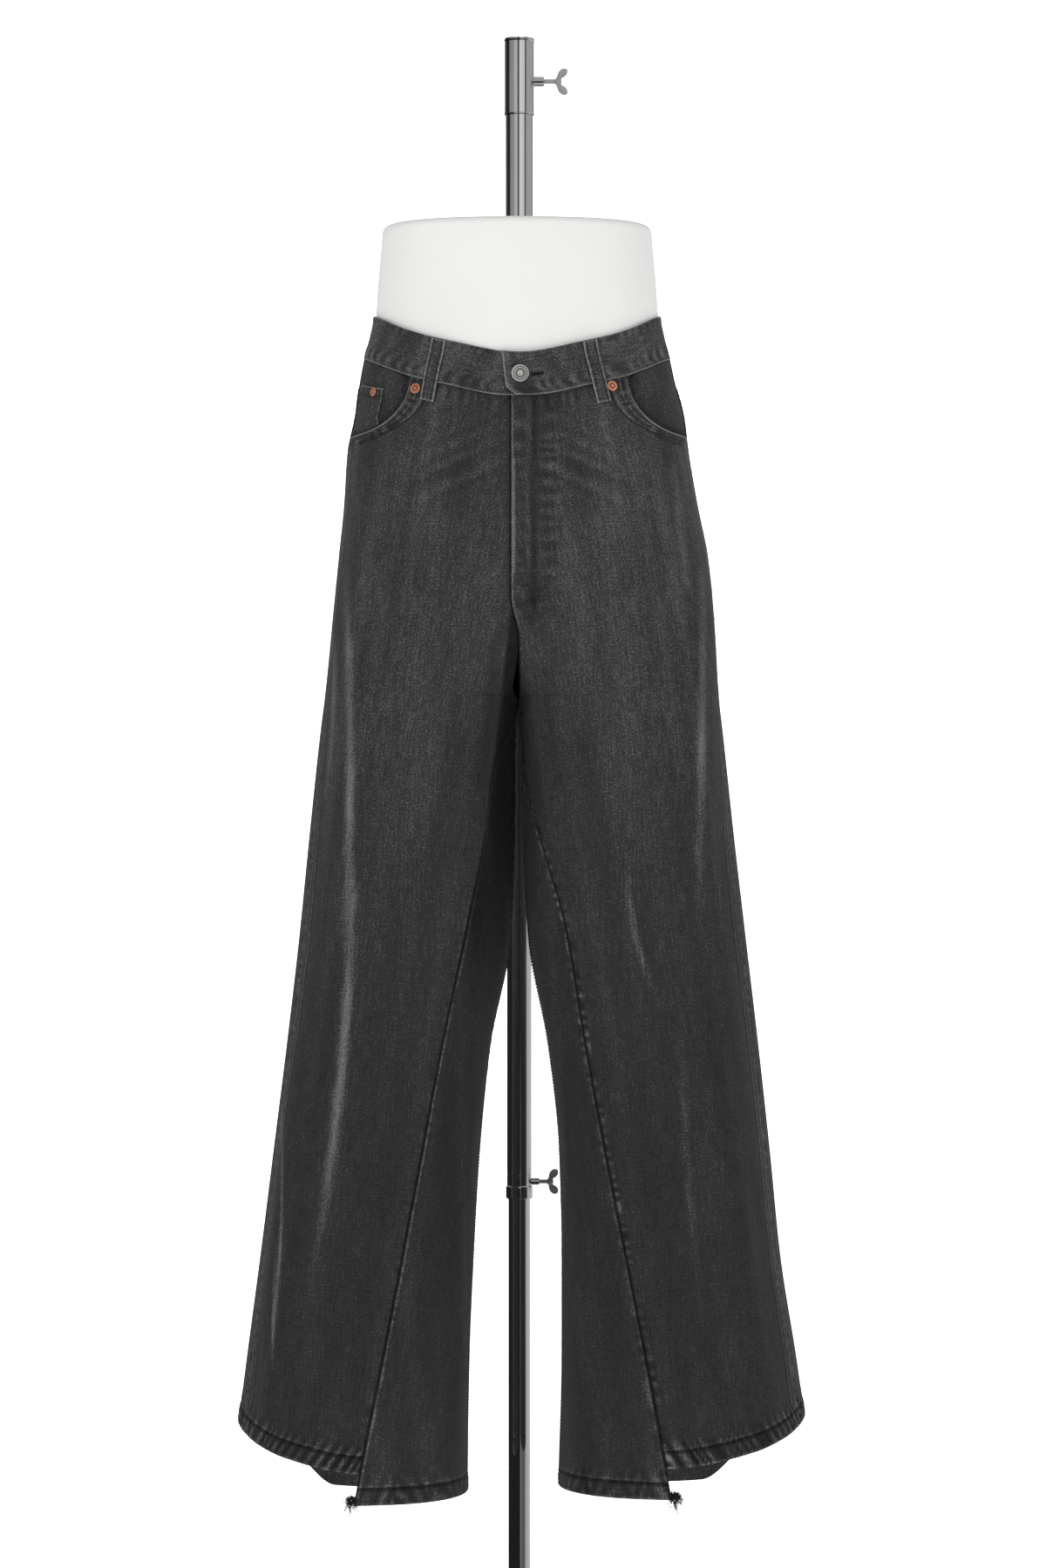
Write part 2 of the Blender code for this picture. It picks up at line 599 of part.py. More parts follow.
def back_panel(side, columns=13):
    angles, heights = patch_rows(side, +1, columns, inset=False)
    side_yoke = YOKE_LEVELS[-1]
    for level in SIDE_LEVELS[1:] + YOKE_LEVELS:
        share = (level - LEVEL_HIGH_Z) / (side_yoke - LEVEL_HIGH_Z)
        height = np.full(columns, level)
        for _ in range(5):
            seam = side_seam(height[-1])
            end = seam + arc_step(side, seam, height[-1], SEAM_GAP / 2)
            row = np.linspace(open_angle(side, height[0]), end, columns)
            top = yoke_seam(row) - SEAM_GAP / 2
            height = LEVEL_HIGH_Z + (top - LEVEL_HIGH_Z) * share
            height[-1] = level if level < side_yoke else top[-1]
        angles.append(row)
        heights.append(height)
    angle, z = np.array(angles), np.array(heights)
    extra, wall = hem_profile(*angle.shape)
    return cloth_wall(side_name(side) + "_back_panel", side, angle, z, extra, wall)


def back_yoke(side, columns=9, rows=3):
    angles, heights = [], []
    for share in np.linspace(0.0, 1.0, rows):
        height = np.full(columns, 1.25)
        for _ in range(5):
            seam = side_seam(height[-1])
            end = seam + arc_step(side, seam, height[-1], SEAM_GAP / 2)
            row = np.linspace(open_angle(side, height[0]), end, columns)
            low, high = yoke_seam(row) + SEAM_GAP / 2, waist_seam(row) - SEAM_GAP
            height = low + (high - low) * share
        angles.append(row)
        heights.append(height)
    return cloth_wall(side_name(side) + "_back_yoke", side, np.array(angles), np.array(heights))


def inset_panel(side, face, columns=6):
    angles, heights = patch_rows(side, face, columns, inset=True)
    angle, z = np.array(angles), np.array(heights)
    extra, wall = hem_profile(*angle.shape)
    place = "front" if face < 0 else "back"
    return cloth_wall(f"{side_name(side)}_{place}_inset", side, angle, z, extra, wall)


def pocket_facing(side, columns=7):
    """The piece behind the pocket's opening: deep under the panel's edge, flush at its seams."""
    theta = np.linspace(0.0, 0.88, columns) * math.pi / 2
    x = POCKET_SIDE_X - (POCKET_SIDE_X - POCKET_TOP_X + FACING_MARGIN) * np.sin(theta)
    low = POCKET_HIGH_Z - (POCKET_HIGH_Z - POCKET_LOW_Z + FACING_MARGIN) * np.cos(theta)
    angle = outer_angle(side, x, low)
    angle[0] = side_seam(1.24) - arc_step(side, side_seam(1.24), 1.24, SEAM_GAP)
    height = waist_seam(angle) - SEAM_GAP - low
    room = np.minimum(1.0, height / 0.030)
    above = np.array([0.0 * room, 0.010 * room, 0.023 * room, (0.023 * room + height) / 2, height])
    angle, z = np.broadcast_to(angle, above.shape), low + above
    across = (POCKET_SIDE_X - np.abs(cloth_point(side, angle, z)[..., 0])) / (POCKET_SIDE_X - POCKET_TOP_X)
    down = np.maximum(POCKET_HIGH_Z - z, 0.0) / (POCKET_HIGH_Z - POCKET_LOW_Z)
    lift = -FACING_LEVEL - FACING_DEPTH * fade(np.hypot(across, down), 0.70, 0.92)
    return cloth_wall(side_name(side) + "_pocket_facing", side, angle, z, lift, FACING_WALL)


def coin_pocket(skin):
    """Small pocket laid on the right facing along the facing's own lines."""
    _, first = place_on(skin, 0.1540, 1.225)
    top_row, last = place_on(skin, 0.1350, 1.2470)
    row, column = lines_between(1.0, top_row), lines_between(first, last)
    column, row = np.meshgrid(column, row)
    lay_on("coin_pocket", skin, row, column, PATCH_GAP, PATCH_WALL)


def back_pocket(side, skin):
    """Patch pocket with a pointed foot, laid on the back panel along the panel's own lines."""
    inner_x, outer_x, low_z, top_z, point = 0.018, 0.156, 1.079, 1.205, 0.020
    low_row, first = place_on(skin, inner_x, low_z)
    top_row, last = place_on(skin, outer_x, top_z)
    column = lines_between(first, last)
    middle = (first + last) / 2
    half = (last - first) / 2
    foot_row, _ = place_on(skin, (inner_x + outer_x) / 2, low_z - point)
    foot = low_row + (foot_row - low_row) * (1 - np.abs(column - middle) / half)
    inside = lines_between(low_row, top_row)[1:]
    row = np.array([foot] + [np.full(len(column), line) for line in inside])
    lay_on(side_name(side) + "_back_pocket", skin, row, np.broadcast_to(column, row.shape),
           PATCH_GAP, PATCH_WALL)


def ring_place(turn, z):
    """Side and section angle for a turn round the whole waist: 0 front, 90 the wearer's left."""
    turn = (np.asarray(turn, float) + 180.0) % 360.0 - 180.0
    side = np.where(turn >= 0, 1, -1)
    reach = np.where(side > 0, open_angle(1, z), open_angle(-1, z))
    return side, (np.abs(turn) / 90.0 - 1.0) * reach


def ring_skin(turn, z, lift):
    side, angle = ring_place(turn, z)
    lift = np.broadcast_to(lift, angle.shape)
    left = cloth_skin(1, angle, z, lift)
    right = cloth_skin(-1, angle, z, lift)
    points = np.where((side > 0)[..., None], left, right)
    return points


def ring_waist_seam(turn):
    turn = (np.asarray(turn, float) + 180.0) % 360.0 - 180.0
    return waist_seam(np.radians(np.abs(turn) - 90.0))


OVERLAP_START, OVERLAP_END = -5.0, 13.5
OVERLAP_LIFT = WAISTBAND_WALL + SEAM_GAP


def overlap_lift(turn):
    """The buttoned end lies over the other one and comes down to the cloth past it."""
    return OVERLAP_LIFT * (1 - fade(turn, OVERLAP_END + 2.0, OVERLAP_END + 28.0))


def waistband(columns=62, rows=3):
    """One band round the waist; its left end laps over its right end."""
    turn = np.linspace(OVERLAP_START, 360.0 + OVERLAP_END, columns)
    share = np.linspace(0.0, 1.0, rows)[:, None]
    slant = 2.6 * (1 - fade(turn, OVERLAP_START, OVERLAP_START + 12.0))
    turn = turn + slant * (0.5 - share)
    z = ring_waist_seam(turn) + WAISTBAND_HEIGHT * share
    lift = WAISTBAND_LIFT + overlap_lift(turn)
    outer = ring_skin(turn, z, lift)
    inner = ring_skin(turn, z, lift - WAISTBAND_WALL)
    return add_object("waistband", *slab(outer, inner), "denim")


def belt_loop(name, turn, rows=6, columns=3):
    """Strip over the waistband, from just under its top edge to a little below its seam."""
    half = math.degrees(LOOP_WIDTH / 2 / 0.15)
    across = np.linspace(-half, half, columns)
    share = np.linspace(0.0, 1.0, rows)[:, None]
    turn = turn + across + np.zeros_like(share)
    seam = ring_waist_seam(turn)
    z = seam - LOOP_OVERHANG + (WAISTBAND_HEIGHT + LOOP_OVERHANG - 0.0015) * share
    base = WAISTBAND_LIFT + overlap_lift(turn % 360.0) + LOOP_GAP
    outer = ring_skin(turn, z, base + LOOP_WALL)
    inner = ring_skin(turn, z, base)
    return add_object(name, *slab(outer, inner), "denim")


def lathe(profile, sides, closed_ring):
    """Vertices and faces of a turned piece round +Z; the profile is (radius, height) rows.

    A closed ring joins its last row to its first; otherwise both ends close on the axis.
    """
    turn = np.arange(sides) * 2 * math.pi / sides
    vertices, rings = [], []
    for radius, height in profile:
        if radius < 1e-9:
            rings.append([len(vertices)] * sides)
            vertices.append((0.0, 0.0, height))
            continue
        rings.append(list(range(len(vertices), len(vertices) + sides)))
        vertices.extend(zip(radius * np.cos(turn), radius * np.sin(turn), [height] * sides))
    pairs = list(zip(rings, rings[1:] + rings[:1])) if closed_ring else list(zip(rings, rings[1:]))
    faces = []
    for low, high in pairs:
        for i in range(sides):
            j = (i + 1) % sides
            corners = [low[i], low[j], high[j], high[i]]
            faces.append(list(dict.fromkeys(corners)))
    return np.array(vertices), faces


def turned(name, profile, kind, place=(0.0, 0.0, 0.0), sides=TUBE_SIDES, closed_ring=True,
           axis=(0.0, 0.0, 1.0), spin=0.0):
    """A turned piece with its axis along a direction, its foot at a place."""
    vertices, faces = lathe(profile, sides, closed_ring)
    axis = np.asarray(axis, float) / np.linalg.norm(axis)
    helper = np.array([0.0, 1.0, 0.0]) if abs(axis[1]) < 0.9 else np.array([1.0, 0.0, 0.0])
    across = np.cross(helper, axis)
    across /= np.linalg.norm(across)
    other = np.cross(axis, across)
    c, s = math.cos(spin), math.sin(spin)
    frame = np.array([c * across + s * other, c * other - s * across, axis])
    return add_object(name, vertices @ frame + np.asarray(place), faces, kind)


def small_on_cloth(name, profile, side, x, z, lift, kind, sides=16):
    """A rivet or button standing on the cloth at a distance x from the middle."""
    face_angle = angle_at_x(side, np.array([x]), np.array([z]), -1)
    foot = cloth_skin(side, face_angle, np.array([z]), np.array([lift]))[0]
    normal = cloth_normal(side, face_angle, np.array([z]))[0]
    return turned(name, profile, kind, place=foot, sides=sides, closed_ring=False, axis=normal)


def rivet(name, side, x, z, lift, radius):
    profile = ((0.0, 0.0), (radius, 0.0), (radius, 0.0005), (radius * 0.72, 0.0011),
               (radius * 0.36, 0.0009), (radius * 0.30, 0.0016), (0.0, 0.0018))
    return small_on_cloth(name, profile, side, x, z, lift, "copper", sides=12)


def waist_button():
    radius = 0.0085
    profile = ((0.0, 0.0), (0.0035, 0.0), (0.0035, 0.0008), (radius * 0.97, 0.0010),
               (radius, 0.0020), (radius * 0.94, 0.0029), (radius * 0.66, 0.0026),
               (radius * 0.58, 0.0020), (radius * 0.30, 0.0020), (radius * 0.24, 0.0027), (0.0, 0.0029))
    lift = WAISTBAND_LIFT + OVERLAP_LIFT + SEAM_GAP
    return small_on_cloth("waist_button", profile, 1, 0.0012, 1.2542, lift, "button", sides=16)


# ---------------------------------------------------------------- form and stand
def form_ring(ring_values, turn, shrink):
    """Points round the form at one height, moved in by shrink."""
    half_width, front, back = ring_values
    c, s = np.cos(turn), np.sin(turn)
    width = np.where(c > 0, half_width - FORM_SIDE_SHIFT, half_width + FORM_SIDE_SHIFT) - shrink
    depth = np.where(s < 0, front, back) - shrink
    return width * c * (1 + ROUND * s * s), depth * s * (1 + ROUND * c * c)


def hip_form():
    """Smooth shell, closed on top and open below."""
    turn = np.arange(FORM_SIDES) * 2 * math.pi / FORM_SIDES
    heights = [row.height for row in FORM_RINGS][::-1]

    def values(z):
        return tuple(float(smooth_lookup(heights, [getattr(row, key) for row in FORM_RINGS][::-1], z))
                     for key in ("half_width", "front", "back"))

    rings = []
    top = FORM_TOP_Z
    levels = [1.032, 1.06, 1.10, 1.14, 1.18, 1.215, 1.25, 1.2755, 1.30, 1.33, 1.365, 1.402]
    for z in levels:
        rings.append((values(z), 0.0, z))
    for degrees in (35.0, 65.0, 90.0):
        arc = math.radians(degrees)
        rings.append((values(1.402), FORM_CORNER * (1 - math.cos(arc)), 1.402 + FORM_CORNER * math.sin(arc)))
    rings.append((values(1.402), 0.050, top))
    outer = [np.column_stack([*form_ring(v, turn, shrink), np.full(FORM_SIDES, z)])
             for v, shrink, z in rings]
    inner_rings = [(v, FORM_WALL + shrink, min(z, top - FORM_WALL)) for v, shrink, z in rings
                   if z < 1.4021 or shrink > 0.02]
    inner = [np.column_stack([*form_ring(v, turn, shrink), np.full(FORM_SIDES, z)])
             for v, shrink, z in inner_rings]
    vertices = np.concatenate(outer + inner + [[[0, 0, top]], [[0, 0, top - FORM_WALL]]])
    count = FORM_SIDES
    faces = []

    def band(a, b):
        for i in range(count):
            j = (i + 1) % count
            faces.append((a * count + i, a * count + j, b * count + j, b * count + i))

    outer_count, inner_count = len(outer), len(inner)
    for k in range(outer_count - 1):
        band(k, k + 1)
    for k in range(inner_count - 1):
        band(outer_count + k, outer_count + k + 1)
    band(0, outer_count)
    for last, pole in ((outer_count - 1, len(vertices) - 2),
                       (outer_count + inner_count - 1, len(vertices) - 1)):
        for i in range(count):
            faces.append((last * count + i, last * count + (i + 1) % count, pole))
    return add_object("hip_form", vertices, faces, "form")


def tube(name, radii, low, high, sides=TUBE_SIDES):
    inner, outer = radii
    profile = ((inner, low), (outer, low), (outer, high), (inner, high))
    return turned(name, profile, "chrome", place=(0.0, POLE_Y, 0.0), sides=sides)


def guide(name, profile, place, axis=(0.0, 0.0, 1.0), sides=TUBE_SIDES, spin=0.0):
    """A hidden solid that a Boolean reads."""
    thing = turned(name, profile, "chrome", place=place, sides=sides, closed_ring=False,
                   axis=axis, spin=spin)
    thing.hide_render = True
    thing.display_type = "WIRE"
    return thing


def boolean(target, tool, operation):
    modifier = target.modifiers.new(tool.name, "BOOLEAN")
    modifier.operation = operation
    modifier.solver = "EXACT"
    modifier.object = tool


def rod_profile(radius, low, high):
    return ((0.0, low), (radius, low), (radius, high), (0.0, high))


def clamp(name, profile, screw_z, boss_radius, boss_foot, boss_reach, screw_bore, screw_foot):
    """A ring on the pole with a bored boss for its wing screw; the boss points along +X."""
    body = turned(name, profile, "chrome", place=(0.0, POLE_Y, 0.0))
    place = (0.0, POLE_Y, screw_z)
    along = (1.0, 0.0, 0.0)
    boss = guide(name + "_boss", rod_profile(boss_radius, boss_foot, boss_reach), place,
                 axis=along, sides=16, spin=math.pi / 16)
    thread = guide(name + "_screw_bore", rod_profile(screw_bore, screw_foot, boss_reach + 0.01),
                   place, axis=along, sides=12, spin=math.pi / 12)
    boolean(body, boss, "UNION")
    boolean(body, thread, "DIFFERENCE")
    return body


def wing_screw(name, screw_z, tip, shoulder, reach, stem_radius, half_span):
    """Threaded stem along +X with two rounded wings; it turns about its own axis."""
    profile = ((0.0, tip), (stem_radius, tip), (stem_radius, shoulder),
               (stem_radius * 1.7, shoulder + 0.0012), (stem_radius * 1.7, shoulder + 0.0050),
               (stem_radius * 1.1, shoulder + 0.0064), (0.0, shoulder + 0.0064))
    vertices, faces = lathe(profile, 12, closed_ring=False)
    turned_x = np.column_stack([vertices[:, 2], vertices[:, 0], vertices[:, 1]])
    body = add_object(name, turned_x, faces, "chrome")
    body.location = (0.0, POLE_Y, screw_z)
    outline = wing_outline(shoulder + 0.0012, reach, half_span)
    for sign, label in ((1, "_upper_wing"), (-1, "_lower_wing")):
        wing = plate(name + label, outline * np.array([1.0, sign]), 0.0011)
        wing.location = body.location
        boolean(body, wing, "UNION")
    return body


def wing_outline(root, reach, half_span):
    """One wing in the X-Z plane: a narrow root that swells to a round end."""
    end_radius = half_span * 0.36
    centre = np.array([reach - end_radius, half_span - end_radius])
    turn = np.radians(np.linspace(-70.0, 190.0, 9))
    arc = centre + end_radius * np.column_stack([np.cos(turn), np.sin(turn)])
    neck = np.array([[root, 0.0004], [root + 0.0050, 0.0004]])
    return np.concatenate([neck, arc])


def plate(name, outline, half_thickness):
    """A hidden flat plate through an outline in the X-Z plane."""
    count = len(outline)
    near = np.column_stack([outline[:, 0], np.full(count, -half_thickness), outline[:, 1]])
    far = near + np.array([0.0, 2 * half_thickness, 0.0])
    faces = [list(range(count)), list(range(2 * count - 1, count - 1, -1))]
    faces += [[i, (i + 1) % count, count + (i + 1) % count, count + i] for i in range(count)]
    thing = add_object(name, np.concatenate([near, far]), faces, "chrome", smooth=False)
    thing.hide_render = True
    thing.display_type = "WIRE"
    return thing


def form_arm():
    """Arm from the sleeve to a flange on the form's closed top."""
    low = FORM_TOP_Z + SEAM_GAP
    high = low + 0.006
    ring_low, ring_high = low - 0.018, high
    ring = ((0.0, ring_low), (0.0190, ring_low), (0.0190, ring_high), (0.0, ring_high))
    body = turned("form_arm", ring, "chrome", place=(0.0, POLE_Y, 0.0), closed_ring=False)
    bar_outline = np.array([[-0.0001, low], [POLE_Y - 0.0100, low], [POLE_Y - 0.0100, high],
                            [-0.0001, high]])
    bar = plate("form_arm_bar", bar_outline, 0.0125)
    bar.rotation_euler = (0.0, 0.0, math.pi / 2)
    flange = guide("form_arm_flange", rod_profile(0.034, low, low + 0.0045), (0.0, 0.0, 0.0))
    inside = guide("form_arm_bore", rod_profile(SLEEVE_TUBE[1] + 0.00045, ring_low - 0.01, ring_high + 0.01),
                   (0.0, POLE_Y, 0.0))
    boolean(body, bar, "UNION")
    boolean(body, flange, "UNION")
    boolean(body, inside, "DIFFERENCE")
    return body


def stand():
    """Base plate, hub, three telescoping tubes, two clamps and their wing screws."""
    edge = 0.0012
    turned("base_plate", ((0.0, 0.0), (BASE_RADIUS - edge, 0.0), (BASE_RADIUS, edge),
                          (BASE_RADIUS, BASE_HEIGHT - edge), (BASE_RADIUS - edge, BASE_HEIGHT),
                          (0.0, BASE_HEIGHT)), "chrome", place=(0.0, POLE_Y, 0.0), sides=48,
           closed_ring=False)
    foot = BASE_HEIGHT + SEAM_GAP
    bore = LOWER_TUBE[1] + 0.0004
    turned("base_hub", ((bore, foot), (0.0260, foot), (0.0260, foot + 0.003), (0.0180, foot + 0.008),
                        (0.0142, foot + 0.018), (0.0138, 0.045), (bore, 0.045)), "chrome",
           place=(0.0, POLE_Y, 0.0))
    tube("lower_tube", LOWER_TUBE, foot, LOWER_TUBE_TOP)
    tube("mid_tube", MID_TUBE, CLAMP_TOP_Z + SEAM_GAP, MID_TUBE_TOP)
    tube("sleeve_tube", SLEEVE_TUBE, SLEEVE_BOTTOM_Z, COLLAR_BOTTOM_Z - SEAM_GAP)
    bore = MID_TUBE[0]
    clamp_profile = ((bore, CLAMP_BOTTOM_Z), (0.0132, CLAMP_BOTTOM_Z), (0.0136, CLAMP_BOTTOM_Z + 0.001),
                     (0.0136, CLAMP_BAND_TOP_Z - 0.001), (0.0132, CLAMP_BAND_TOP_Z),
                     (0.0125, CLAMP_BAND_TOP_Z + 0.0006), (0.0125, CLAMP_TOP_Z), (bore, CLAMP_TOP_Z))
    clamp("clamp_ring", clamp_profile, CLAMP_SCREW_Z, 0.0036, 0.01165, 0.0207, 0.0026,
          CLAMP_SCREW_FOOT)
    wing_screw("clamp_wing_screw", CLAMP_SCREW_Z, CLAMP_SCREW_FOOT + SEAM_GAP, 0.0287, 0.0412,
               0.0022, 0.0120)
    bore = SLEEVE_TUBE[0]
    collar_profile = ((bore, COLLAR_BOTTOM_Z), (0.0149, COLLAR_BOTTOM_Z), (0.0155, COLLAR_BOTTOM_Z + 0.001),
                      (0.0151, COLLAR_BOTTOM_Z + 0.003), (0.0151, COLLAR_TOP_Z - 0.0035),
                      (0.0155, COLLAR_TOP_Z - 0.0022), (0.0155, COLLAR_TOP_Z - 0.0010),
                      (0.0149, COLLAR_TOP_Z), (bore, COLLAR_TOP_Z))
    clamp("top_collar", collar_profile, COLLAR_SCREW_Z, 0.0049, 0.0138, 0.0254, 0.0031,
          COLLAR_SCREW_FOOT)
    wing_screw("collar_wing_screw", COLLAR_SCREW_Z, COLLAR_SCREW_FOOT + SEAM_GAP, 0.0370, 0.0509,
               0.0026, 0.0129)
    form_arm()


# ---------------------------------------------------------------- the whole part
def jeans():
    for side in (+1, -1):
        front_panel(side)
        back_pocket(side, back_panel(side))
        back_yoke(side)
        inset_panel(side, -1)
        inset_panel(side, +1)
    pocket_facing(+1)
    coin_pocket(pocket_facing(-1))
    waistband()
    belt_loop("left_front_loop", 26.0)
    belt_loop("right_front_loop", -29.3)
    belt_loop("left_back_loop", 118.0)
    belt_loop("right_back_loop", -118.0)
    belt_loop("middle_back_loop", 180.0)
    waist_button()
    rivet("left_pocket_rivet", +1, 0.0897, 1.2440, SEAM_GAP, 0.0052)
    rivet("right_pocket_rivet", -1, 0.1000, 1.2420, SEAM_GAP, 0.0052)
    coin_top = PATCH_GAP + PATCH_WALL - FACING_LEVEL
    rivet("coin_pocket_rivet", -1, 0.1400, 1.2410, coin_top + 2 * SEAM_GAP, 0.0042)


def main():
    for thing in list(bpy.data.objects):
        bpy.data.objects.remove(thing)
    jeans()
    hip_form()
    stand()


main()
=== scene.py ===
"""Looks of the baggy jeans with inset inner-leg panels, on a white hip form and a chrome pole stand.

Metres, +Z up, the front of the jeans faces -Y. "left" and "right" are the wearer's, left at +X.
The cloth is one surface worked out from a table of plan sections. Every piece of cloth is a fine
patch of it, given its own wall, seams, puckers, fading, and painted shade and light.
"""
from __future__ import annotations

import logging
import math
from dataclasses import dataclass, field
from enum import Enum
from typing import NamedTuple

import bpy
import numpy as np
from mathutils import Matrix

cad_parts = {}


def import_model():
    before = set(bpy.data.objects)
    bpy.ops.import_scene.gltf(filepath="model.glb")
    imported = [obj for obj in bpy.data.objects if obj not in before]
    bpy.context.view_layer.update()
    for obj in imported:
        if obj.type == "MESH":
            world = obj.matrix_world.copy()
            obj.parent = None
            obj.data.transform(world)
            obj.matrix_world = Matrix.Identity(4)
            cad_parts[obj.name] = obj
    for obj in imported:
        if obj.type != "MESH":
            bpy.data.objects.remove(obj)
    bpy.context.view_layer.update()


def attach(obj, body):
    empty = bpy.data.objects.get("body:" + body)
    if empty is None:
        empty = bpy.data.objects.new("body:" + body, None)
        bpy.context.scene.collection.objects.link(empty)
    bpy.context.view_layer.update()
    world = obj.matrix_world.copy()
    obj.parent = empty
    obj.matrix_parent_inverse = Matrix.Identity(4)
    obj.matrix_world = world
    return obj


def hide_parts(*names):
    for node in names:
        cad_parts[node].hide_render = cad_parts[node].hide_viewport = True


LOG = logging.getLogger("jeans")
Array = np.ndarray
TAU = 2 * math.pi
GAP = 0.0003                   # between neighbouring pieces
BODY = "form"                  # the frame's body that all the cloth rides on
AXIS = 0.0001                  # radius at which a turned piece closes on its axis
CUT_EDGE = 0.0004              # middle of the line that follows a panel's cut edge


class Option(Enum):
    """An option whose label is used in pieces' names."""

    @property
    def label(self) -> str:
        """Its name in lower case."""
        return self.name.lower()


class Face(Option):
    """Front or back of a leg."""

    FRONT = -1
    BACK = 1


class Side(Option):
    """The wearer's side; left is at +X."""

    RIGHT = -1
    LEFT = 1


# ---------------------------------------------------------------- tables of the cut
def by_face(kind: type, groups: dict) -> tuple:
    """A table's rows from groups of numbers under each side and face."""
    return tuple(kind(*key, *row) for key, rows in groups.items() for row in rows)


class Section(NamedTuple):
    """Half widths out to each side, inner edges, middle's share, depths, at one height."""

    height: float
    right_outer: float
    left_outer: float
    right_inner: float
    left_inner: float
    share: float
    front: float
    back: float


SECTIONS = (
    Section(1.345, 0.1425, 0.1385, 0.0003, 0.0003, 0.00, 0.0960, 0.1010),
    Section(1.318, 0.1436, 0.1398, 0.0003, 0.0003, 0.00, 0.0975, 0.1035),
    Section(1.300, 0.1470, 0.1432, 0.0003, 0.0003, 0.00, 0.0990, 0.1050),
    Section(1.281, 0.1522, 0.1482, 0.0003, 0.0003, 0.00, 0.1010, 0.1070),
    Section(1.255, 0.1572, 0.1540, 0.0003, 0.0003, 0.10, 0.1050, 0.1105),
    Section(1.221, 0.1621, 0.1630, 0.0003, 0.0003, 0.25, 0.1100, 0.1160),
    Section(1.187, 0.1690, 0.1672, 0.0003, 0.0003, 0.42, 0.1135, 0.1210),
    Section(1.135, 0.1724, 0.1760, 0.0003, 0.0003, 0.60, 0.1165, 0.1260),
    Section(1.084, 0.1776, 0.1862, 0.0003, 0.0003, 0.74, 0.1180, 0.1285),
    Section(1.032, 0.1828, 0.1914, 0.0003, 0.0003, 0.86, 0.1190, 0.1275),
    Section(0.945, 0.1915, 0.1970, 0.0003, 0.0003, 0.98, 0.1195, 0.1200),
    Section(0.912, 0.1957, 0.2008, 0.0030, 0.0022, 1.00, 0.1195, 0.1155),
    Section(0.808, 0.2068, 0.2120, 0.0043, 0.0039, 1.00, 0.1190, 0.1060),
    Section(0.705, 0.2172, 0.2240, 0.0090, 0.0099, 1.00, 0.1180, 0.1010),
    Section(0.602, 0.2292, 0.2361, 0.0288, 0.0288, 1.00, 0.1175, 0.0990),
    Section(0.499, 0.2421, 0.2473, 0.0391, 0.0400, 1.00, 0.1175, 0.0985),
    Section(0.396, 0.2550, 0.2576, 0.0452, 0.0426, 1.00, 0.1180, 0.0990),
    Section(0.292, 0.2688, 0.2739, 0.0495, 0.0426, 1.00, 0.1190, 0.1005),
    Section(0.189, 0.2817, 0.2877, 0.0512, 0.0400, 1.00, 0.1200, 0.1020),
    Section(0.130, 0.2885, 0.2950, 0.0515, 0.0395, 1.00, 0.1210, 0.1030),
)


class InsetSeam(NamedTuple):
    """Distance of the inset panels' seams from the middle at one height."""

    height: float
    right_front: float
    left_front: float
    right_back: float
    left_back: float


INSET_SEAMS = (
    InsetSeam(0.930, 0.0034, 0.0026, 0.0034, 0.0026),
    InsetSeam(0.871, 0.0256, 0.0052, 0.0110, 0.0100),
    InsetSeam(0.798, 0.0349, 0.0239, 0.0270, 0.0250),
    InsetSeam(0.731, 0.0483, 0.0433, 0.0430, 0.0420),
    InsetSeam(0.603, 0.0752, 0.0655, 0.0680, 0.0660),
    InsetSeam(0.468, 0.1004, 0.0907, 0.0930, 0.0920),
    InsetSeam(0.301, 0.1323, 0.1235, 0.1250, 0.1230),
    InsetSeam(0.183, 0.1558, 0.1449, 0.1470, 0.1440),
    InsetSeam(0.130, 0.1650, 0.1540, 0.1560, 0.1530),
)


class Fold(NamedTuple):
    """A soft ridge (or, with a negative height, a trough) down a leg; x is off the middle."""

    side: Side
    face: Face
    top_z: float
    top_x: float
    mid_x: float
    low_z: float
    low_x: float
    half_width: float
    height: float


FOLDS = by_face(Fold, {
    (Side.RIGHT, Face.FRONT): (
        (1.070, 0.170, 0.166, 0.330, 0.209, 0.020, 0.0075),
        (0.900, 0.085, 0.108, 0.250, 0.150, 0.030, 0.0035),
        (0.620, 0.215, 0.228, 0.230, 0.250, 0.013, 0.0050),
        (0.960, 0.128, 0.140, 0.520, 0.150, 0.020, -0.0045),
    ),
    (Side.LEFT, Face.FRONT): (
        (1.100, 0.180, 0.176, 0.740, 0.174, 0.018, 0.0070),
        (0.840, 0.106, 0.114, 0.560, 0.150, 0.022, 0.0055),
        (0.700, 0.190, 0.205, 0.230, 0.235, 0.020, 0.0050),
        (0.950, 0.140, 0.146, 0.600, 0.158, 0.020, -0.0045),
    ),
    (Side.RIGHT, Face.BACK): (
        (1.060, 0.060, 0.110, 0.700, 0.165, 0.022, 0.0070),
        (0.960, 0.030, 0.085, 0.560, 0.150, 0.020, 0.0060),
        (0.700, 0.190, 0.200, 0.240, 0.225, 0.020, 0.0055),
    ),
    (Side.LEFT, Face.BACK): (
        (1.050, 0.066, 0.116, 0.720, 0.172, 0.022, 0.0070),
        (0.940, 0.034, 0.090, 0.580, 0.156, 0.020, 0.0060),
        (0.680, 0.185, 0.204, 0.250, 0.240, 0.020, 0.0055),
    ),
})
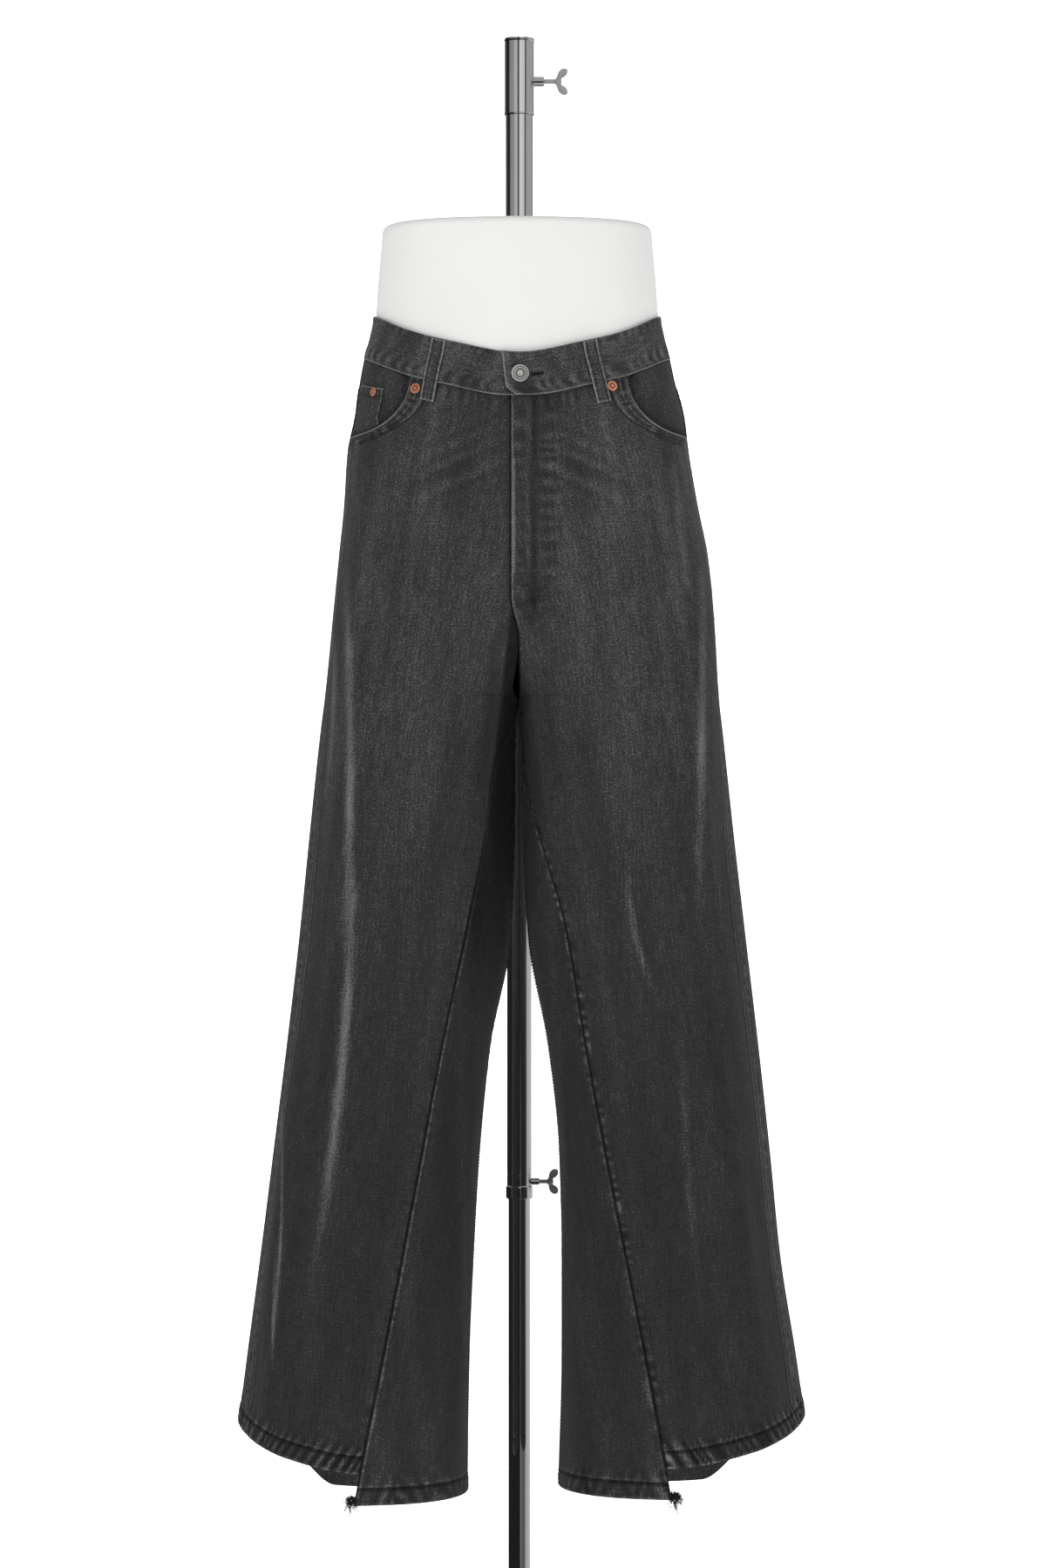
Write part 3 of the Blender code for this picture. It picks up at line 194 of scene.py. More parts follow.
FINE_FOLDS = by_face(Fold, {
    (Side.RIGHT, Face.FRONT): (
        (1.230, 0.020, 0.034, 1.120, 0.060, 0.006, 0.0010),
        (1.200, 0.018, 0.040, 1.080, 0.080, 0.008, 0.0011),
        (1.160, 0.014, 0.030, 1.010, 0.066, 0.009, 0.0013),
        (0.880, 0.060, 0.072, 0.700, 0.080, 0.011, 0.0013),
        (0.760, 0.120, 0.128, 0.480, 0.150, 0.010, 0.0012),
        (0.520, 0.176, 0.190, 0.240, 0.206, 0.009, 0.0016),
        (0.480, 0.226, 0.238, 0.300, 0.246, 0.006, 0.0015),
        (0.420, 0.078, 0.082, 0.180, 0.090, 0.011, 0.0012),
    ),
    (Side.LEFT, Face.FRONT): (
        (1.225, 0.030, 0.044, 1.110, 0.072, 0.007, 0.0010),
        (1.120, 0.020, 0.040, 0.990, 0.078, 0.009, 0.0012),
        (0.990, 0.060, 0.072, 0.820, 0.084, 0.010, 0.0012),
        (0.800, 0.104, 0.112, 0.640, 0.140, 0.006, 0.0021),
        (0.620, 0.150, 0.160, 0.330, 0.178, 0.009, 0.0016),
        (0.560, 0.206, 0.216, 0.300, 0.226, 0.008, 0.0014),
        (0.440, 0.066, 0.072, 0.180, 0.078, 0.009, 0.0013),
    ),
    (Side.LEFT, Face.BACK): (
        (1.120, 0.040, 0.090, 0.930, 0.130, 0.011, 0.0020),
        (0.620, 0.120, 0.128, 0.300, 0.140, 0.010, 0.0018),
    ),
    (Side.RIGHT, Face.BACK): (
        (1.130, 0.036, 0.084, 0.950, 0.126, 0.011, 0.0020),
        (0.640, 0.112, 0.120, 0.320, 0.134, 0.010, 0.0018),
    ),
})


class Crease(NamedTuple):
    """A hollow on an inner thigh; the angle runs from the outer side round the front."""

    side: Side
    angle: float
    half_angle: float
    middle_z: float
    half_height: float
    depth: float


CREASES = (
    Crease(Side.RIGHT, -154.0, 20.0, 0.850, 0.110, 0.0150),
    Crease(Side.LEFT, -150.0, 22.0, 0.800, 0.120, 0.0040),
)


class Line(NamedTuple):
    """Height of a seam or hem at an angle from the outer side (-90 front, +90 back)."""

    angle: float
    height: float


WAIST_SEAM = (
    Line(-110.0, 1.2335), Line(-90.0, 1.2338), Line(-66.0, 1.2456), Line(-57.0, 1.2508),
    Line(-17.0, 1.2745), Line(0.0, 1.2790), Line(45.0, 1.2880), Line(90.0, 1.2920),
    Line(110.0, 1.2920),
)
OUTER_HEM = (
    Line(-180.0, 0.1975), Line(-100.0, 0.1980), Line(-60.0, 0.2115), Line(-40.0, 0.2215),
    Line(-15.0, 0.2325), Line(0.0, 0.2345), Line(30.0, 0.2180), Line(64.0, 0.1805),
    Line(82.0, 0.1520), Line(100.0, 0.1500), Line(180.0, 0.1500),
)
INSET_HEM = (
    Line(-180.0, 0.1640), Line(-140.0, 0.1665), Line(-90.0, 0.1680), Line(90.0, 0.1560),
    Line(140.0, 0.1580), Line(180.0, 0.1640),
)


class Streak(NamedTuple):
    """A pale line along a fold, partly a worn ridge and partly a painted highlight: heights, distances off
    the middle, half width, strength.
    """

    side: Side
    face: Face
    top_z: float
    top_x: float
    mid_x: float
    low_z: float
    low_x: float
    half_width: float
    strength: float


STREAKS = by_face(Streak, {
    (Side.RIGHT, Face.FRONT): (
        (1.075, 0.1700, 0.1625, 0.690, 0.1705, 0.0040, 0.36),
        (0.860, 0.1620, 0.1690, 0.340, 0.2090, 0.0050, 0.34),
        (0.560, 0.2330, 0.2300, 0.310, 0.2400, 0.0018, 0.34),
        (1.020, 0.1830, 0.1800, 0.840, 0.1900, 0.0028, 0.24),
        (0.420, 0.2350, 0.2370, 0.290, 0.2380, 0.0016, 0.26),
    ),
    (Side.LEFT, Face.FRONT): (
        (1.080, 0.1790, 0.1765, 0.740, 0.1725, 0.0042, 0.30),
        (0.800, 0.1050, 0.1105, 0.640, 0.1395, 0.0024, 0.30),
        (1.180, 0.1500, 0.1560, 1.040, 0.1650, 0.0040, 0.14),
        (0.640, 0.1560, 0.1620, 0.330, 0.1790, 0.0040, 0.15),
        (0.440, 0.0660, 0.0720, 0.180, 0.0780, 0.0028, 0.14),
    ),
    (Side.RIGHT, Face.BACK): (
        (1.000, 0.0800, 0.1150, 0.640, 0.1600, 0.0050, 0.24),
    ),
    (Side.LEFT, Face.BACK): (
        (1.000, 0.0860, 0.1200, 0.660, 0.1640, 0.0050, 0.24),
    ),
})


# ---------------------------------------------------------------- curves
def monotone(xs: Array, ys: Array, x: Array) -> Array:
    """Monotone cubic through points.

    Each stretch is a cubic whose end slopes are the weighted harmonic mean of its neighbours'
    slopes, or level where the slopes change sign.

    Args:
        xs: Rising places of the points.
        ys: Their values.
        x: Places to read at.

    Returns:
        The curve's values at x.
    """
    xs, ys = np.asarray(xs, float), np.asarray(ys, float)
    x = np.clip(np.asarray(x, float), xs[0], xs[-1])
    step = np.diff(xs)
    slope = np.diff(ys) / step
    tangent = np.zeros_like(ys)
    tangent[0], tangent[-1] = slope[0], slope[-1]
    same_way = slope[:-1] * slope[1:] > 0
    weight_a, weight_b = 2 * step[1:] + step[:-1], step[1:] + 2 * step[:-1]
    safe_a, safe_b = np.where(same_way, slope[:-1], 1.0), np.where(same_way, slope[1:], 1.0)
    mean = (weight_a + weight_b) / (weight_a / safe_a + weight_b / safe_b)
    tangent[1:-1] = np.where(same_way, mean, 0.0)
    i = np.clip(np.searchsorted(xs, x, side="right") - 1, 0, len(xs) - 2)
    t = (x - xs[i]) / step[i]
    return (ys[i] * (1 + 2 * t) * (1 - t) ** 2 + tangent[i] * step[i] * t * (1 - t) ** 2
            + ys[i + 1] * t * t * (3 - 2 * t) + tangent[i + 1] * step[i] * t * t * (t - 1))


def read_table(rows: tuple, column: str, place: Array, key: str = "height") -> Array:
    """One column of a table, read as a monotone curve over its key column."""
    rows = sorted(rows, key=lambda row: getattr(row, key))
    return monotone([getattr(row, key) for row in rows], [getattr(row, column) for row in rows], place)


def spread(first: Array, last: Array, share: Array) -> Array:
    """Rows that run from a first to a last value by shares."""
    return first[:, None] * (1 - share) + last[:, None] * share


def fade(x: Array, start: float, end: float) -> Array:
    """0 before start, 1 after end, and t t (3 - 2 t) between."""
    t = np.clip((np.asarray(x, float) - start) / (end - start), 0.0, 1.0)
    return t * t * (3 - 2 * t)


def bell(x: Array, half_width: float) -> Array:
    """Gaussian bell, 1 in the middle."""
    return np.exp(-(np.asarray(x, float) / half_width) ** 2)


def drift(x: Array, step: float, seed: int) -> Array:
    """Smooth seeded noise from -1 to 1 along a line: random values a step apart, eased between.

    Args:
        x: Places.
        step: Distance between the random values.
        seed: Picks the random draws.

    Returns:
        Values from -1 to 1.
    """
    count = 4096
    values = np.random.default_rng(seed).uniform(-1.0, 1.0, count)
    place = np.asarray(x, float) / step + count / 2
    low = np.floor(place).astype(int)
    t = place - low
    t = t * t * (3 - 2 * t)
    return values[low % count] * (1 - t) + values[(low + 1) % count] * t


def eased(count: int, ends: float) -> Array:
    """Shares from 0 to 1 that lie closer together at both ends; ends is 0 for even steps."""
    t = np.linspace(0.0, 1.0, count)
    return t - ends * np.sin(TAU * t) / TAU


# ---------------------------------------------------------------- the cloth's surface
@dataclass(frozen=True)
class JeansShape:
    """The worn garment's surface and its seam lines."""

    round: float = 0.064
    crotch_z: float = 0.945
    fork_top_z: float = 1.065
    fork_share: float = 0.15
    low_z: float = 0.300
    high_z: float = 1.000
    inset_top_z: float = 0.930
    fly_shift: float = 0.0072
    yoke_side: float = 0.038
    yoke_middle: float = 0.068
    side_seam_angle: float = math.radians(-8.0)
    left_hem_lift: float = 0.0055

    def section(self, side: Side, z: Array) -> tuple[Array, Array, Array, Array, Array, Array]:
        """Plan section of one half at heights z.

        Args:
            side: The wearer's side.
            z: Heights.

        Returns:
            Middle, outer half width, inner half width, front depth, back depth, inner edge.
        """
        z = np.asarray(z, float)
        outer, inner, share, front, back = (read_table(SECTIONS, column, z) for column in (
            side.label + "_outer", side.label + "_inner", "share", "front", "back"))
        share = np.clip(share, 1e-4, 1.0)
        middle = inner + share * (outer - inner) / 2
        closing = np.clip((self.fork_top_z - z) / (self.fork_top_z - self.crotch_z), 0.0, 1.0)
        opened = np.where(z >= self.crotch_z, self.fork_share * share * (1 - closing) + closing, 1.0)
        return middle, outer - middle, (middle - inner) / opened, front, back, inner

    def arccosine(self, ratio: Array) -> Array:
        """The angle whose rounded cosine c (1 + round (1 - c c)) is the ratio.

        Args:
            ratio: Values from 0 to 1.

        Returns:
            Angles from 0 to a quarter turn.
        """
        ratio = np.clip(np.asarray(ratio, float), 0.0, 1.0)
        c = ratio
        for _ in range(8):
            c = ratio / (1 + self.round * (1 - c * c))
        return np.arccos(np.clip(c, 0.0, 1.0))

    def open_angle(self, side: Side, z: Array, past: Array | float = 0.0) -> Array:
        """Angle from the outer side at which a half's section comes to its inner edge."""
        middle, _, inner_width, _, _, inner = self.section(side, z)
        return math.pi - self.arccosine((middle - inner + np.asarray(past, float)) / inner_width)

    def fold_depth(self, side: Side, angle: Array, z: Array, x: Array, folds: tuple) -> Array:
        """Sum of the folds: each a bell across a parabola down the leg, swelling along it.

        Args:
            side: The wearer's side.
            angle: Angles from the outer side, front negative.
            z: Heights.
            x: Distances off the middle.
            folds: Rows of folds or streaks.

        Returns:
            How far each point moves out.
        """
        depth = np.zeros_like(x)
        for fold in folds:
            if fold.side is not side:
                continue
            t = np.clip((fold.top_z - z) / (fold.top_z - fold.low_z), 0.0, 1.0)
            path = (fold.top_x * (1 - t) * (1 - 2 * t) + 4 * fold.mid_x * t * (1 - t)
                    + fold.low_x * t * (2 * t - 1))
            along = np.sin(math.pi * t) ** 0.8
            on_face = fade(fold.face.value * np.sin(angle), 0.05, 0.45)
            depth += fold[-1] * along * bell(x - path, fold.half_width) * on_face
        return depth

    def crease_depth(self, side: Side, angle: Array, z: Array) -> Array:
        """Sum of the thigh hollows, each a bell round the leg and down it.

        Args:
            side: The wearer's side.
            angle: Angles from the outer side, front negative.
            z: Heights.

        Returns:
            How far each point moves out; inward is negative.
        """
        depth = np.zeros_like(z)
        for crease in CREASES:
            if crease.side is side:
                across = bell(np.degrees(angle) - crease.angle, crease.half_angle)
                depth -= crease.depth * across * bell(z - crease.middle_z, crease.half_height)
        return depth

    def point(self, side: Side, angle: Array, z: Array, fine: bool = True) -> Array:
        """Points of the outer face.

        x is the middle plus the half width times cos (1 + round sin sin), y the depth times
        sin (1 + round cos cos), both moved out by the folds along the plan's normal.

        Args:
            side: The wearer's side.
            angle: From the outer side, front negative, back positive.
            z: Heights.
            fine: Adds the small folds.

        Returns:
            Points, with a last axis of three.
        """
        angle, z = np.asarray(angle, float), np.asarray(z, float)
        middle, outer_width, inner_width, front, back, _ = self.section(side, z)
        c, s = np.cos(angle), np.sin(angle)
        width, depth = np.where(c > 0, outer_width, inner_width), np.where(s < 0, front, back)
        x = middle + width * c * (1 + self.round * s * s)
        y = depth * s * (1 + self.round * c * c)
        normal_x, normal_y = depth * c, width * s
        length = np.hypot(normal_x, normal_y)
        out = self.fold_depth(side, angle, z, x, FOLDS) + self.crease_depth(side, angle, z)
        if fine:
            out = out + self.fold_depth(side, angle, z, x, FINE_FOLDS)
        return np.stack([side.value * (x + out * normal_x / length),
                         y + out * normal_y / length, z], axis=-1)

    def normal(self, side: Side, angle: Array, z: Array, fine: bool = True) -> Array:
        """Outward unit normals: the cross product of the surface's two differences.

        Args:
            side: The wearer's side.
            angle: Angles from the outer side, front negative.
            z: Heights.
            fine: Adds the small folds.

        Returns:
            Unit vectors.
        """
        small_angle, small_height = 1e-3, 5e-4
        across = (self.point(side, angle + small_angle, z, fine)
                  - self.point(side, angle - small_angle, z, fine))
        up = (self.point(side, angle, z + small_height, fine)
              - self.point(side, angle, z - small_height, fine))
        normal = side.value * np.cross(across, up)
        return normal / np.linalg.norm(normal, axis=-1, keepdims=True)

    def angle_at_x(self, side: Side, x: Array, z: Array, face: Face) -> Array:
        """Angle at which one face of a section is x off the middle, found by halving.

        Args:
            side: The wearer's side.
            x: Distances off the middle.
            z: Heights.
            face: Front or back.

        Returns:
            Angles from the outer side.
        """
        x, z = np.broadcast_arrays(np.asarray(x, float), np.asarray(z, float))
        inner, outer = np.full(x.shape, math.radians(179.5)), np.full(x.shape, math.radians(2.0))
        for _ in range(40):
            half = (inner + outer) / 2
            here = side.value * self.point(side, half * face.value, z, fine=False)[..., 0]
            inner, outer = np.where(here < x, half, inner), np.where(here < x, outer, half)
        return (inner + outer) / 2 * face.value

    def arc_step(self, side: Side, angle: Array, z: Array, distance: float) -> Array:
        """Angle that covers a distance along the section.

        Args:
            side: The wearer's side.
            angle: Angles from the outer side, front negative.
            z: Heights.
            distance: Length along the section.

        Returns:
            Steps of angle.
        """
        small = 1e-3
        speed = self.point(side, angle + small, z) - self.point(side, angle - small, z)
        return distance * 2 * small / np.linalg.norm(speed, axis=-1)

    def side_seam(self, z: Array) -> Array:
        """The side seam's angle: a little in front of the outer line, more so low down."""
        return self.side_seam_angle - math.radians(13.0) * (1 - fade(z, 0.75, 1.20))

    def inset_seam(self, side: Side, z: Array, face: Face) -> Array:
        """Angle of the seam between an outer panel and its inset."""
        distance = read_table(INSET_SEAMS, f"{side.label}_{face.label}", z)
        return self.angle_at_x(side, distance, z, face)

    def fly_edge(self, side: Side, z: Array) -> Array:
        """The front panels' middle edge: the left one laps past the middle above the fly's foot.

        Args:
            side: The wearer's side.
            z: Heights.

        Returns:
            Angles of the edge.
        """
        reach = fade(z, 1.000, 1.040)
        past = self.fly_shift * reach
        return -self.open_angle(side, z, past if side is Side.LEFT else -past - 0.0004 * reach)

    def inner_edge(self, side: Side, z: Array, face: Face) -> Array:
        """A panel's inner edge: inset seam, then inseam, then the fly or the seat seam.

        Args:
            side: The wearer's side.
            z: Heights.
            face: Front or back.

        Returns:
            Angles of the edge.
        """
        z = np.asarray(z, float)
        low = z < self.inset_top_z + 0.0006
        seam = self.inset_seam(side, np.minimum(z, self.inset_top_z), face)
        above = face.value * self.open_angle(side, z)
        if face is Face.FRONT:
            above = np.where(z > 0.99, self.fly_edge(side, z), above)
        step = self.arc_step(side, seam, z, GAP / 2)
        near = z < self.inset_top_z + 0.02
        return np.where(low, seam, above) - face.value * np.where(near, step, 0.0)

    def outer_edge(self, side: Side, z: Array, face: Face) -> Array:
        """A panel's edge along the side seam."""
        seam = self.side_seam(z)
        return seam + face.value * self.arc_step(side, seam, z, GAP / 2)

    def waist_seam(self, angle: Array) -> Array:
        """The waistband's lower seam."""
        return read_table(WAIST_SEAM, "height", np.degrees(angle), "angle")

    def yoke_seam(self, angle: Array) -> Array:
        """The yoke's lower edge: deepest at the middle of the back."""
        lean = fade(angle, self.side_seam_angle, math.pi / 2)
        return self.waist_seam(angle) - self.yoke_side - (self.yoke_middle - self.yoke_side) * lean

    def hem(self, side: Side, angle: Array, inset: bool) -> Array:
        """The hem's height."""
        lift = self.left_hem_lift if side is Side.LEFT else 0.0
        return read_table(INSET_HEM if inset else OUTER_HEM, "height", np.degrees(angle), "angle") + lift


SHAPE = JeansShape()


def read_between(grid: Array, rows: Array, columns: Array) -> Array:
    """A grid read at fractional rows and columns, straight between its points.

    Args:
        grid: Values, with rows and columns as its first axes.
        rows: Fractional rows.
        columns: Fractional columns.

    Returns:
        The values there.
    """
    low_r = np.clip(np.floor(rows).astype(int), 0, grid.shape[0] - 2)
    low_c = np.clip(np.floor(columns).astype(int), 0, grid.shape[1] - 2)
    r, c = rows - low_r, columns - low_c
    if grid.ndim == 3:
        r, c = r[..., None], c[..., None]
    near = grid[low_r, low_c] * (1 - c) + grid[low_r, low_c + 1] * c
    far = grid[low_r + 1, low_c] * (1 - c) + grid[low_r + 1, low_c + 1] * c
    return near * (1 - r) + far * r


@dataclass
class ArcTable:
    """Distance round one half from its outer line, tabled over height and angle."""

    side: Side
    low: float = 0.12
    high: float = 1.36
    levels: int = 125
    columns: int = 361
    arc: Array = field(init=False)

    def __post_init__(self) -> None:
        """Adds up the steps round each level, then takes off the sum at the outer line."""
        angle, z = np.meshgrid(np.linspace(-math.pi, math.pi, self.columns),
                               np.linspace(self.low, self.high, self.levels))
        steps = np.linalg.norm(np.diff(SHAPE.point(self.side, angle, z, fine=False), axis=1), axis=-1)
        arc = np.concatenate([np.zeros((self.levels, 1)), np.cumsum(steps, axis=1)], axis=1)
        self.arc = arc - arc[:, self.columns // 2][:, None]

    def at(self, angle: Array, z: Array) -> Array:
        """The distance at angles and heights."""
        rows = (z - self.low) / (self.high - self.low) * (self.levels - 1)
        return read_between(self.arc, rows, (angle / TAU + 0.5) * (self.columns - 1))


ARCS = {side: ArcTable(side) for side in Side}


# ---------------------------------------------------------------- shader graphs
class Nodes:
    """Adds and joins the nodes of one shader tree."""

    def __init__(self, tree: bpy.types.NodeTree) -> None:
        """Takes the tree as it is."""
        self.tree = tree

    def join(self, source: bpy.types.NodeSocket | float, target: bpy.types.NodeSocket) -> None:
        """Links a socket, or sets a plain number.

        Args:
            source: A socket or a plain value.
            target: The socket that takes it.
        """
        if isinstance(source, (int, float, tuple)):
            target.default_value = source
        else:
            self.tree.links.new(source, target)

    def uv(self, name: str) -> bpy.types.NodeSocket:
        """A named UV map of the piece.

        Args:
            name: The map's name.

        Returns:
            The map's vector.
        """
        node = self.tree.nodes.new("ShaderNodeUVMap")
        node.uv_map = name
        return node.outputs["UV"]

    def place(self, kind: str = "Object") -> bpy.types.NodeSocket:
        """Coordinates of one kind; the object's own unless told otherwise."""
        return self.tree.nodes.new("ShaderNodeTexCoord").outputs[kind]

    def split(self, vector: bpy.types.NodeSocket) -> tuple:
        """X, Y and Z of a vector.

        Args:
            vector: The vector.

        Returns:
            Three sockets.
        """
        node = self.tree.nodes.new("ShaderNodeSeparateXYZ")
        self.join(vector, node.inputs[0])
        return tuple(node.outputs)

    def attribute(self, name: str) -> bpy.types.NodeSocket:
        """A float attribute of the piece.

        Args:
            name: The attribute's name.

        Returns:
            Its value.
        """
        node = self.tree.nodes.new("ShaderNodeAttribute")
        node.attribute_name = name
        return node.outputs["Fac"]

    def math(self, operation: str, a: object, b: object = 0.0, c: object = 0.0) -> bpy.types.NodeSocket:
        """One sum of two or three values.

        Args:
            operation: The node's operation.
            a: First value.
            b: Second value.
            c: Third value.

        Returns:
            The result.
        """
        node = self.tree.nodes.new("ShaderNodeMath")
        node.operation = operation
        for value, socket in zip((a, b, c), node.inputs):
            self.join(value, socket)
        return node.outputs[0]

    def stretch(self, vector: bpy.types.NodeSocket, scale: tuple) -> bpy.types.NodeSocket:
        """A vector scaled along each axis.

        Args:
            vector: The vector.
            scale: Factor along each axis.

        Returns:
            The scaled vector.
        """
        node = self.tree.nodes.new("ShaderNodeMapping")
        self.join(vector, node.inputs["Vector"])
        node.inputs["Scale"].default_value = scale
        return node.outputs[0]

    def noise(self, vector: bpy.types.NodeSocket, scale: float, detail: float = 2.0,
              rough: float = 0.5) -> bpy.types.NodeSocket:
        """Noise from 0 to 1, a half on average.

        Args:
            vector: Where the noise is read.
            scale: How fine it is.
            detail: Number of finer layers.
            rough: Strength of the finer layers.

        Returns:
            The noise's value.
        """
        node = self.tree.nodes.new("ShaderNodeTexNoise")
        self.join(vector, node.inputs["Vector"])
        node.inputs["Scale"].default_value = scale
        node.inputs["Detail"].default_value = detail
        node.inputs["Roughness"].default_value = rough
        return node.outputs["Fac"]

    def around(self, value: bpy.types.NodeSocket, amount: float) -> bpy.types.NodeSocket:
        """(value - a half) times an amount."""
        return self.math("MULTIPLY_ADD", value, amount, -amount / 2)

    def total(self, *values: object) -> bpy.types.NodeSocket:
        """The sum of several values.

        Args:
            values: Sockets or plain values.

        Returns:
            The sum's socket.
        """
        result = values[0]
        for value in values[1:]:
            result = self.math("ADD", result, value)
        return result

    def rise(self, value: object, low: float, high: float, start: float = 0.0,
             end: float = 1.0) -> bpy.types.NodeSocket:
        """Smooth step from start to end as the value goes from low to high.

        Args:
            value: The value.
            low: Where the step starts.
            high: Where it ends.
            start: Result before it.
            end: Result after it.

        Returns:
            The step's value.
        """
        node = self.tree.nodes.new("ShaderNodeMapRange")
        node.interpolation_type = "SMOOTHSTEP"
        self.join(value, node.inputs["Value"])
        for name, number in zip(("From Min", "From Max", "To Min", "To Max"), (low, high, start, end)):
            node.inputs[name].default_value = number
        return node.outputs["Result"]

    def ramp(self, value: object, stops: tuple) -> bpy.types.NodeSocket:
        """A colour ramp through (place, colour) stops.

        Args:
            value: Where the ramp is read.
            stops: (place, colour) rows, the ramp's own two ends first.

        Returns:
            The colour.
        """
        node = self.tree.nodes.new("ShaderNodeValToRGB")
        self.join(value, node.inputs["Fac"])
        elements = node.color_ramp.elements
        for index, (place, colour) in enumerate(stops):
            element = elements[index] if index < 2 else elements.new(place)
            element.position = place
            element.color = (*colour, 1.0)
        return node.outputs["Color"]


class Graph(Nodes):
    """The shader nodes of one material."""

    def __init__(self, name: str) -> None:
        """Starts a material with a Principled shader.

        Args:
            name: The material's name.
        """
        self.material = bpy.data.materials.new(name)
        self.material.use_nodes = True
        super().__init__(self.material.node_tree)
        self.shader = self.tree.nodes["Principled BSDF"]

    def set(self, **values: float | tuple) -> None:
        """Sets the shader's own sockets; an underscore stands for a space."""
        for name, value in values.items():
            self.shader.inputs[name.replace("_", " ")].default_value = value

    def colour(self, value: object, stops: tuple) -> None:
        """Joins a colour ramp to the shader's base colour."""
        self.join(self.ramp(value, stops), self.shader.inputs["Base Color"])

    def bump(self, height: object, strength: float, distance: float) -> None:
        """Joins a bump to the shader's normal.

        Args:
            height: The relief.
            strength: How much of it shows.
            distance: Metres that a height of one stands for.
        """
        node = self.tree.nodes.new("ShaderNodeBump")
        node.inputs["Strength"].default_value = strength
        node.inputs["Distance"].default_value = distance
        self.join(height, node.inputs["Height"])
        self.join(node.outputs["Normal"], self.shader.inputs["Normal"])


class Edge(Enum):
    """Which of a cloth piece's four edges a line runs along: its UV map and its axis there."""

    INNER = ("edges", 0)
    OUTER = ("edges", 1)
    LOW = ("rims", 0)
    TOP = ("rims", 1)


class SeamLine(NamedTuple):
    """A pale (+) or dark (-) line at a distance from an edge, all in metres but the tone."""

    edge: Edge
    distance: float
    half_width: float
    tone: float


OUTER_CUT = SeamLine(Edge.OUTER, CUT_EDGE, 0.0012, -0.30)
INNER_CUT = SeamLine(Edge.INNER, CUT_EDGE, 0.0012, -0.30)
# A dark line along the hem's stitching: partly the stitch line's own dark, partly painted shade in its
# groove.
HEM_LINE = SeamLine(Edge.LOW, 0.0168, 0.0009, -0.12)


@dataclass(frozen=True)
class DenimFinish:
    """Washed black twill: a diagonal weave, uneven yarns, clouds of fading, worn edges, and the painted
    shade and light that the pieces' attribute adds.
    """

    name: str
    lines: tuple[SeamLine, ...] = ()
    tone: float = 0.40
    dark: tuple = (0.0052, 0.0052, 0.0056)
    middle: tuple = (0.0290, 0.0290, 0.0304)
    pale: tuple = (0.2150, 0.2150, 0.2130)
    twill: float = 0.00135             # weave's repeat across the diagonal

    def material(self) -> bpy.types.Material:
        """Builds the material from the cloth, edges and rims maps and the attribute of worn tone and painted
        shading.

        Returns:
            The material.
        """
        g = Graph(self.name)
        cloth = g.uv("cloth")
        across, up, _ = g.split(cloth)
        diagonal = g.math("ADD", across, g.math("MULTIPLY", up, 0.55))
        wave = g.math("SINE", g.math("MULTIPLY", diagonal, TAU / self.twill))
        grain = g.noise(cloth, 560.0, 3.0, 0.72)
        warp = g.noise(g.stretch(cloth, (560.0, 42.0, 1.0)), 1.0, 2.0, 0.6)
        weft = g.noise(g.stretch(cloth, (90.0, 480.0, 1.0)), 1.0, 2.0, 0.5)
        cloud = g.noise(g.stretch(cloth, (30.0, 7.0, 1.0)), 1.0, 3.0, 0.55)
        patch = g.noise(cloth, 130.0, 2.0, 0.5)
        value = g.total(self.tone, g.math("MULTIPLY", wave, 0.040), g.around(grain, 0.95),
                        g.around(warp, 0.34), g.around(weft, 0.12), g.around(cloud, 0.22),
                        g.around(patch, 0.12), g.attribute("wear_and_shading"))
        broken = g.rise(g.noise(cloth, 260.0, 2.0, 0.6), 0.30, 0.62, 0.25, 1.0)
        maps = {name: g.split(g.uv(name)) for name in {line.edge.value[0] for line in self.lines}}
        for line in self.lines:
            map_name, axis = line.edge.value
            off = g.math("ABSOLUTE", g.math("SUBTRACT", maps[map_name][axis], line.distance))
            mask = g.rise(off, line.half_width * 0.35, line.half_width, 1.0, 0.0)
            amount = g.math("MULTIPLY", mask, broken) if line.tone > 0 else mask
            value = g.math("MULTIPLY_ADD", amount, line.tone, value)
        g.colour(value, ((0.0, self.dark), (1.0, self.pale), (0.42, self.middle)))
        g.set(Roughness=0.95, Sheen_Weight=0.04, Sheen_Roughness=0.5, Specular_IOR_Level=0.12)
        relief = g.total(g.math("MULTIPLY", wave, 0.35), g.around(grain, 1.6), g.around(warp, 1.2),
                         g.around(weft, 0.6))
        g.bump(relief, 0.35, 0.00022)
        return g.material


@dataclass(frozen=True)
class MetalFinish:
    """Metal: clean or cast, with uneven roughness and a tarnish mottled by noise."""

    name: str
    colour: tuple
    roughness: float
    uneven: float = 0.04
    grain: float = 900.0
    relief: float = 0.0
    tarnish: tuple | None = None
    metallic: float = 1.0

    def material(self) -> bpy.types.Material:
        """Builds the material on object coordinates.

        Returns:
            The material.
        """
        g = Graph(self.name)
        place = g.place()
        fine, smear = g.noise(place, self.grain, 3.0), g.noise(place, 35.0, 3.0)
        g.set(Metallic=self.metallic)
        mix = g.total(g.around(fine, 0.5), g.around(smear, 0.7), 0.5)
        low = self.tarnish or tuple(c * 0.92 for c in self.colour)
        g.colour(mix, ((0.25, low), (0.75, self.colour)))
        rough = g.total(self.roughness, g.around(smear, self.uneven), g.around(fine, self.uneven / 2))
        g.join(g.math("MAXIMUM", rough, 0.02), g.shader.inputs["Roughness"])
        if self.relief > 0:
            g.bump(fine, 0.5, self.relief)
        return g.material


